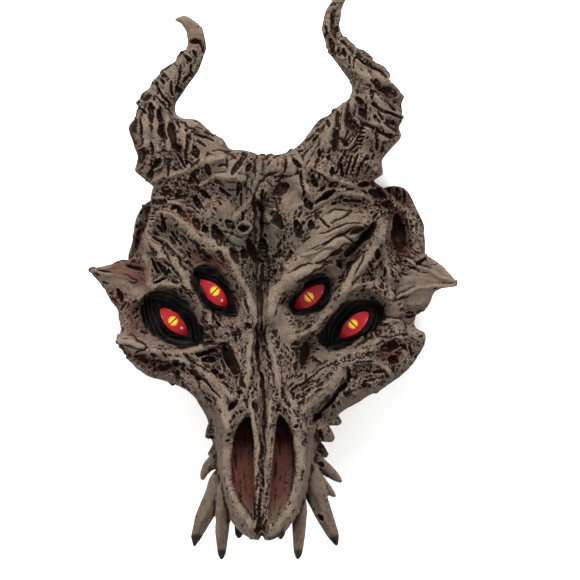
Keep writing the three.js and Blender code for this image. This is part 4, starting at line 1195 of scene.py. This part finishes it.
class MASK_OT_skin(bpy.types.Operator):
    """Build the skin of the mask over its CAD shell"""

    bl_idname = "mask.skin"
    bl_label = "Skin"

    def execute(self, context):
        settings = context.scene.mask_skin
        plan = Plan()
        skin = copy_of("mask_shell", "mask_skin")
        self.remesh(skin, 2 * settings.voxel)
        self.round_off(skin.data, plan)
        self.remesh(skin, settings.voxel)
        points = relax(points_of(skin.data), edges_of(skin.data), 0.5, ROUNDS["everywhere"])
        points[points_of(skin.data)[:, 2] < 0.3, 2] = 0
        points = push_lips(points, edges_of(skin.data))
        notch_chin(points)
        move_to(skin.data, points)
        top, covered = top_of(plan, points, normals_of(skin.data))
        back = back_of(plan, points, normals_of(skin.data), top)
        drawn = draw_relief(plan, top, covered)
        self.press(skin.data, plan, drawn, back, settings.relief)
        material = painted_latex(settings)
        for name, low, high in BANDS:
            low -= BAND_OVERLAP / 2
            high += BAND_OVERLAP / 2
            piece = self.cut_band(skin, name, low, high, settings.triangles)
            self.close_cuts(piece.data, low, high)
            self.paint(piece.data, plan, drawn)
            # The cut leaves an empty slot, which goes first
            piece.data.materials.clear()
            piece.data.materials.append(material)
            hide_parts("mask_shell")
            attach(piece, "root")
        bpy.data.objects.remove(skin)
        return {"FINISHED"}

    def remesh(self, piece, size):
        """Build the skin again from cells of one size."""
        cells = piece.modifiers.new("cells", "REMESH")
        cells.mode = "VOXEL"
        cells.voxel_size = size
        settle(piece)

    def cut_band(self, skin, name, low, high, most):
        """A closed copy of the skin between two places along Y, thinned to a number of triangles."""
        form = bmesh.new()
        bmesh.ops.create_cube(form, size=1)
        bmesh.ops.scale(form, verts=form.verts[:], vec=(BLOCK_SIZE, (high - low) * MM, BLOCK_SIZE))
        bmesh.ops.translate(form, verts=form.verts[:], vec=(0, (high + low) / 2 * MM, 0))
        block = finish_form(form, "band")
        piece = place_in_scene(name, skin.data.copy())
        cut = piece.modifiers.new("cut", "BOOLEAN")
        cut.operation = "INTERSECT"
        cut.solver = "MANIFOLD"
        cut.object = block
        settle(piece)
        bpy.data.objects.remove(block)
        count = len(piece.data.loops) - 2 * len(piece.data.polygons)
        if count > most:
            thin = piece.modifiers.new("thin", "DECIMATE")
            thin.ratio = most / count
            settle(piece)
        return piece

    def close_cuts(self, mesh, low, high):
        """Clear the doubled slivers of a cut, and leave its flat ends with a crisp edge round each."""
        form = bmesh.new()
        form.from_mesh(mesh)
        bmesh.ops.triangulate(form, faces=form.faces[:])
        bmesh.ops.remove_doubles(form, verts=form.verts[:], dist=MERGE * MM)
        alike = {}
        for face in form.faces:
            alike.setdefault(frozenset(face.verts), []).append(face)
        doubled = [face for faces in alike.values() if len(faces) > 1 for face in faces]
        bmesh.ops.delete(form, geom=doubled, context="FACES")
        crowded = {face for edge in form.edges if len(edge.link_faces) > 2 for face in edge.link_faces}
        bmesh.ops.delete(form, geom=list(crowded), context="FACES")
        low_part = (low + NEAR_CUT) * MM
        high_part = (high - NEAR_CUT) * MM
        by_cut = [vert for vert in form.verts if not low_part <= vert.co.y <= high_part]
        scraps = {vert for start in by_cut for vert in self.scrap(start)}
        bmesh.ops.delete(form, geom=list(scraps), context="VERTS")
        opened = [edge for edge in form.edges if len(edge.link_faces) == 1]
        filled = bmesh.ops.holes_fill(form, edges=opened, sides=FEW)["faces"]
        bmesh.ops.triangulate(form, faces=filled)
        for face in form.faces:
            y = [vert.co.y / MM for vert in face.verts]
            face.smooth = not (max(y) < low + FLAT_END or min(y) > high - FLAT_END)
        for edge in form.edges:
            edge.smooth = all(face.smooth for face in edge.link_faces)
        form.to_mesh(mesh)
        form.free()

    def scrap(self, start):
        """The points that hang together with one, if they are only the few of a scrap."""
        found = {start}
        ahead = [start]
        while ahead and len(found) < FEW:
            vert = ahead.pop()
            beside = {edge.other_vert(vert) for edge in vert.link_edges} - found
            found |= beside
            ahead += beside
        return found if len(found) < FEW else set()

    def round_off(self, mesh, plan):
        """Round off the facets of the CAD shell, most of all on the face and inside."""
        points = points_of(mesh)
        edges = edges_of(mesh)
        normals = normals_of(mesh)
        top, _ = top_of(plan, points, normals)
        back = back_of(plan, points, normals, top)
        on_floor = points[:, 2] < 0.7
        across = (points[:, 0] - FACE_OVAL["x"]) / FACE_OVAL["half_width"]
        along = (points[:, 1] - FACE_OVAL["y"]) / FACE_OVAL["half_length"]
        broad = ramp(-np.hypot(across, along), -1.0, -0.85)
        root = plan.read(plan.spots(HORN_ROOTS, 4), points[:, 0], points[:, 1])
        points = relax(points, edges, 0.5, ROUNDS["everywhere"])
        points = relax(points, edges, 0.5 * broad * (1 - back), ROUNDS["face"])
        points = relax(points, edges, 0.5 * root, ROUNDS["horn_roots"])
        points = relax(points, edges, 0.5 * back, ROUNDS["back"])
        points[on_floor, 2] = 0
        move_to(mesh, points)

    def press(self, mesh, plan, drawn, back, strength):
        """Press the relief into the skin: by the plan where it faces up, and from the side elsewhere."""
        points = points_of(mesh)
        normals = normals_of(mesh)
        edges = edges_of(mesh)
        front = np.repeat((~back)[:, None].astype(float), 3, 1)
        front = relax(front, edges, 0.5, ROUNDS["everywhere"])[:, 0]
        front = np.where(back, 0, np.clip(front, 0, 1))
        up = ramp(normals[:, 2], 0.1, 0.5)
        shift = up * plan.read(drawn["relief"], points[:, 0], points[:, 1])
        height = WALL["stretch"] * points[:, 2]
        end_on = plan.read(drawn["web"], points[:, 0], height + WALL["from_y"])
        side_on = plan.read(drawn["web"], height + WALL["from_x"], points[:, 1])
        turn = normals[:, 0] ** 2 / np.maximum(normals[:, 0] ** 2 + normals[:, 1] ** 2, 1e-6)
        web = (1 - up) * (turn * side_on + (1 - turn) * end_on) * ramp(points[:, 2], 2, 8)
        web *= plan.read(drawn["bare"], points[:, 0], points[:, 1])
        shift = (shift - web) * front * strength * ramp(points[:, 2], 0.5, 4)
        move_to(mesh, points + normals * shift[:, None])
        store(mesh, "up", up)
        store(mesh, "flank_web", web)
        store(mesh, "back", 1 - front)

    def paint(self, mesh, plan, drawn):
        """Lay the coats of paint and of painted shade: each is a value from 0 to 1 at every vertex."""
        points = points_of(mesh)
        normals = normals_of(mesh)
        up = stored(mesh, "up")
        flank_web = stored(mesh, "flank_web")
        even = relax(points, edges_of(mesh), 0.5, ROUNDS["creases"])
        crease = np.sum((even - points) * normals, axis=1)
        slope = ramp(1 - normals[:, 2], 0.2, 0.75) * up
        coat = {}
        for name in COATS:
            if name in drawn:
                coat[name] = plan.read(drawn[name], points[:, 0], points[:, 1])
        wash_and_shade = up * coat["wash_and_shade"] + (1 - up) * np.clip(0.45 * flank_web + 0.1, 0, 1)
        # The wash gathers in the creases, and faces that tilt steeply are darkened with it as painted
        # shade
        wash_and_shade = np.clip(wash_and_shade + 0.4 * ramp(crease, 0.1, 1.0) + 0.22 * slope - 0.05, 0, 1)
        light = np.clip(up * coat["light"] + 0.4 * ramp(-crease, 0.05, 0.6), 0, 1)
        coat["wash_and_shade"] = wash_and_shade
        coat["light"] = light * (1 - wash_and_shade)
        # Painted shade: the sides darken towards the floor
        coat["shade"] = coat["shade"] * up + (1 - up) * 0.6 * ramp(-points[:, 2], -30, 0)
        coat["raw"] = coat["raw"] * ramp(points[:, 2], *NOSTRIL_LINING)
        tips = fang_tips(plan, drawn["top"], points)
        coat["ink"] = np.maximum(coat["ink"] * ramp(points[:, 2], *SOCKET_FLOOR), TIP["ink"] * tips)
        for name in ("red", "violet", "green"):
            coat[name] *= 0.6
        for name, values in coat.items():
            store(mesh, name, values)


# Clear lacquer over painted resin, as glossy as glass: red with a yellow iris and a dark slit. The
# eye's own plan is in millimetres.
def lacquered_eye(settings):
    material, tree = new_material("lacquered_resin_eye")
    place = add_node(tree, "ShaderNodeUVMap", {"uv_map": "eye_plan"}).outputs["UV"]
    radius = add_node(tree, "ShaderNodeVectorMath", {"operation": "LENGTH"}, i0=place).outputs["Value"]
    along = add_node(tree, "ShaderNodeSeparateXYZ", Vector=place).outputs["X"]
    across = add_node(tree, "ShaderNodeMath", {"operation": "ABSOLUTE"}, i0=along).outputs[0]
    mottle = add_node(tree, "ShaderNodeTexNoise", Vector=place, Scale=1.1, Detail=4.0).outputs["Fac"]

    # The iris is 4.2 mm from the middle to its edge, and goes orange towards it
    soft = {"interpolation_type": "SMOOTHSTEP"}
    iris = add_node(
        tree, "ShaderNodeMapRange", soft,
        Value=radius, From_Min=3.6, From_Max=4.5, To_Min=1.0, To_Max=0.0,
    ).outputs[0]
    rim = add_node(
        tree, "ShaderNodeMapRange", soft, Value=radius, From_Min=2.4, From_Max=4.1, To_Max=0.9,
    ).outputs[0]
    slit = add_node(
        tree, "ShaderNodeMapRange", soft,
        Value=across, From_Min=0.4, From_Max=0.8, To_Min=1.0, To_Max=0.0,
    ).outputs[0]
    slit = add_node(tree, "ShaderNodeMath", {"operation": "MULTIPLY"}, i0=slit, i1=iris).outputs[0]

    blend = {"data_type": "RGBA"}
    red = add_node(
        tree, "ShaderNodeMix", blend, i0=mottle, i6=(*settings.red, 1), i7=(*settings.red_deep, 1),
    ).outputs[2]
    yellow = add_node(
        tree, "ShaderNodeMix", blend, i0=rim, i6=(*settings.iris, 1), i7=(*settings.iris_edge, 1),
    ).outputs[2]
    colour = add_node(tree, "ShaderNodeMix", blend, i0=iris, i6=red, i7=yellow).outputs[2]
    colour = add_node(
        tree, "ShaderNodeMix", blend, i0=slit, i6=colour, i7=(*settings.slit, 1),
    ).outputs[2]
    shader = add_node(
        tree, "ShaderNodeBsdfPrincipled", Base_Color=colour, Roughness=0.3, Specular_IOR_Level=0.1,
        Coat_Weight=0.5, Coat_Roughness=0.06,
    )
    add_node(tree, "ShaderNodeOutputMaterial", Surface=shader.outputs[0])
    return material


class EyeSettings(bpy.types.PropertyGroup):
    red: bpy.props.FloatVectorProperty(
        name="Red", description="Bright red of the eyeball", subtype="COLOR", default=linear("#9e121d"),
    )
    red_deep: bpy.props.FloatVectorProperty(
        name="Deep red", description="Darker red in the mottling", subtype="COLOR",
        default=linear("#6a0a12"),
    )
    iris: bpy.props.FloatVectorProperty(
        name="Iris", description="Yellow of the iris", subtype="COLOR", default=linear("#dca62c"),
    )
    iris_edge: bpy.props.FloatVectorProperty(
        name="Iris edge", description="Orange edge of the iris", subtype="COLOR",
        default=linear("#a5480e"),
    )
    slit: bpy.props.FloatVectorProperty(
        name="Slit", description="Dark slit of the pupil", subtype="COLOR", default=linear("#1a0d08"),
    )


class MASK_OT_eyes(bpy.types.Operator):
    """Build the four glossy eyes in their sockets"""

    bl_idname = "mask.eyes"
    bl_label = "Eyes"

    def execute(self, context):
        material = lacquered_eye(context.scene.mask_eyes)
        for node, x, y, turn, top, iris_x, iris_y, slit in EYES:
            eye = self.dome(node.replace("eye_", "gloss_eye_"), x, y, turn, top)
            self.map_iris(eye.data, iris_x, iris_y, slit)
            eye.data.materials.append(material)
            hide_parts(node)
            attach(eye, "root")
        return {"FINISHED"}

    def dome(self, name, x, y, turn, top):
        """An almond cut from a domed cabochon, closed underneath."""
        form = bmesh.new()
        bmesh.ops.create_grid(form, x_segments=48, y_segments=24, size=1)
        c = math.cos(math.radians(turn))
        s = math.sin(math.radians(turn))
        for vert in form.verts:
            u = math.sin(vert.co.x * math.pi / 2)
            along = EYE["half_length"] * u
            aside = EYE["half_width"] * (1 - u * u) * vert.co.y
            fall = EYE["radius"] - math.sqrt(EYE["radius"] ** 2 - along ** 2 - aside ** 2)
            vert.co = (x + along * c - aside * s, y + along * s + aside * c, top - fall)
        bmesh.ops.remove_doubles(form, verts=form.verts[:], dist=0.01)
        border = [edge for edge in form.edges if edge.is_boundary]
        walls = bmesh.ops.extrude_edge_only(form, edges=border)["geom"]
        low = [item for item in walls if isinstance(item, bmesh.types.BMVert)]
        for vert in low:
            vert.co.z = top - EYE["depth"]
        bmesh.ops.holes_fill(form, edges=[e for e in form.edges if e.is_boundary], sides=0)
        bmesh.ops.recalc_face_normals(form, faces=form.faces[:])
        bmesh.ops.scale(form, verts=form.verts[:], vec=(MM, MM, MM))
        eye = finish_form(form, name)
        faces = eye.data.polygons
        faces.foreach_set("use_smooth", [len(face.vertices) <= 4 for face in faces])
        return eye

    def map_iris(self, mesh, iris_x, iris_y, slit):
        """Lay the eye's own plan over it in millimetres, centred on the iris with the slit along V."""
        layer = mesh.uv_layers.new(name="eye_plan")
        for loop in mesh.loops:
            place = mesh.vertices[loop.vertex_index].co / MM
            v, u = turned(place.x, place.y, iris_x, iris_y, slit)
            layer.data[loop.index].uv = (u, v)


# Pale matt board, faintly mottled over 125 mm
def pale_board(settings):
    material, tree = new_material("matt_white_board")
    place = add_node(tree, "ShaderNodeTexCoord").outputs["Object"]
    mottle = add_node(tree, "ShaderNodeTexNoise", Vector=place, Scale=1 / (125 * MM), Detail=3.0)
    darker = [0.97 * part for part in settings.floor]
    colour = add_node(
        tree, "ShaderNodeMix", {"data_type": "RGBA"},
        i0=mottle.outputs["Fac"], i6=(*settings.floor, 1), i7=(*darker, 1),
    ).outputs[2]
    shader = add_node(tree, "ShaderNodeBsdfPrincipled", Base_Color=colour, Roughness=0.9)
    add_node(tree, "ShaderNodeOutputMaterial", Surface=shader.outputs[0])
    return material


class StageSettings(bpy.types.PropertyGroup):
    floor: bpy.props.FloatVectorProperty(
        name="Floor", description="Colour of the floor", subtype="COLOR", default=linear("#f6f6f6"),
    )
    view_width: bpy.props.FloatProperty(
        name="View width", description="Width of the view at the height of the face", default=0.464,
        unit="LENGTH",
    )
    face_height: bpy.props.FloatProperty(
        name="Face height", description="Height over the floor where the view has that width",
        default=0.05, unit="LENGTH",
    )
    lens: bpy.props.FloatProperty(
        name="Lens", description="Focal length in millimetres", default=400.0,
    )
    key_power: bpy.props.FloatProperty(
        name="Key light", description="Power of the large soft light", default=100.0, unit="POWER",
    )
    sky: bpy.props.FloatProperty(
        name="Sky", description="Strength of the even light from all round", default=0.54,
    )


class MASK_OT_stage(bpy.types.Operator):
    """Set up the pale floor, the soft lights and the camera"""

    bl_idname = "mask.stage"
    bl_label = "Stage"

    def execute(self, context):
        settings = context.scene.mask_stage
        form = bmesh.new()
        bmesh.ops.create_grid(form, x_segments=8, y_segments=8, size=FLOOR_HALF)
        floor = finish_form(form, "floor")
        floor.data.materials.append(pale_board(settings))
        for name, place, size, share in LAMPS:
            self.light(name, place, size, share * settings.key_power)
        world = bpy.data.worlds.new("even_sky")
        world.use_nodes = True
        back = world.node_tree.nodes["Background"]
        back.inputs["Color"].default_value = (1, 1, 1, 1)
        back.inputs["Strength"].default_value = settings.sky
        context.scene.world = world
        context.scene.view_settings.view_transform = "Standard"
        context.scene.camera = self.camera(settings)
        return {"FINISHED"}

    def light(self, name, place, size, power):
        """A square soft light that looks at the middle of the mask."""
        lamp = bpy.data.lights.new(name, "AREA")
        lamp.size = size
        lamp.energy = power
        holder = place_in_scene(name, lamp)
        holder.location = place
        holder.rotation_euler = (-holder.location).to_track_quat("-Z", "Y").to_euler()

    def camera(self, settings):
        """A long lens that looks straight down, as the photograph does."""
        lens = bpy.data.cameras.new("camera")
        lens.lens = settings.lens
        lens.sensor_width = SENSOR_WIDTH
        distance = settings.view_width * settings.lens / lens.sensor_width
        lens.clip_end = 3 * distance + 30
        holder = place_in_scene("camera", lens)
        holder.location = (VIEW_MIDDLE[0] * MM, VIEW_MIDDLE[1] * MM, settings.face_height + distance)
        return holder


class MASK_PT_panel(bpy.types.Panel):
    """Lists the mask's operators and what may be changed"""

    bl_idname = "MASK_PT_panel"
    bl_label = "Demon skull mask"
    bl_space_type = "VIEW_3D"
    bl_region_type = "UI"
    bl_category = "Mask"

    def draw(self, context):
        for group, operator in GROUPS:
            box = self.layout.box()
            settings = getattr(context.scene, group)
            for name in settings.__annotations__:
                box.prop(settings, name)
            box.operator(operator)


GROUPS = [("mask_skin", "mask.skin"), ("mask_eyes", "mask.eyes"), ("mask_stage", "mask.stage")]
CLASSES = [
    SkinSettings, EyeSettings, StageSettings, MASK_OT_skin, MASK_OT_eyes, MASK_OT_stage, MASK_PT_panel,
]


def register():
    for kind in CLASSES:
        bpy.utils.register_class(kind)
    bpy.types.Scene.mask_skin = bpy.props.PointerProperty(type=SkinSettings)
    bpy.types.Scene.mask_eyes = bpy.props.PointerProperty(type=EyeSettings)
    bpy.types.Scene.mask_stage = bpy.props.PointerProperty(type=StageSettings)


def unregister():
    del bpy.types.Scene.mask_skin
    del bpy.types.Scene.mask_eyes
    del bpy.types.Scene.mask_stage
    for kind in reversed(CLASSES):
        bpy.utils.unregister_class(kind)


def main():
    """Build everything."""
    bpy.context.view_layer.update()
    register()
    bpy.ops.mask.skin()
    bpy.ops.mask.eyes()
    bpy.ops.mask.stage()
    bpy.context.view_layer.update()


if __name__ == "__main__":
    main()
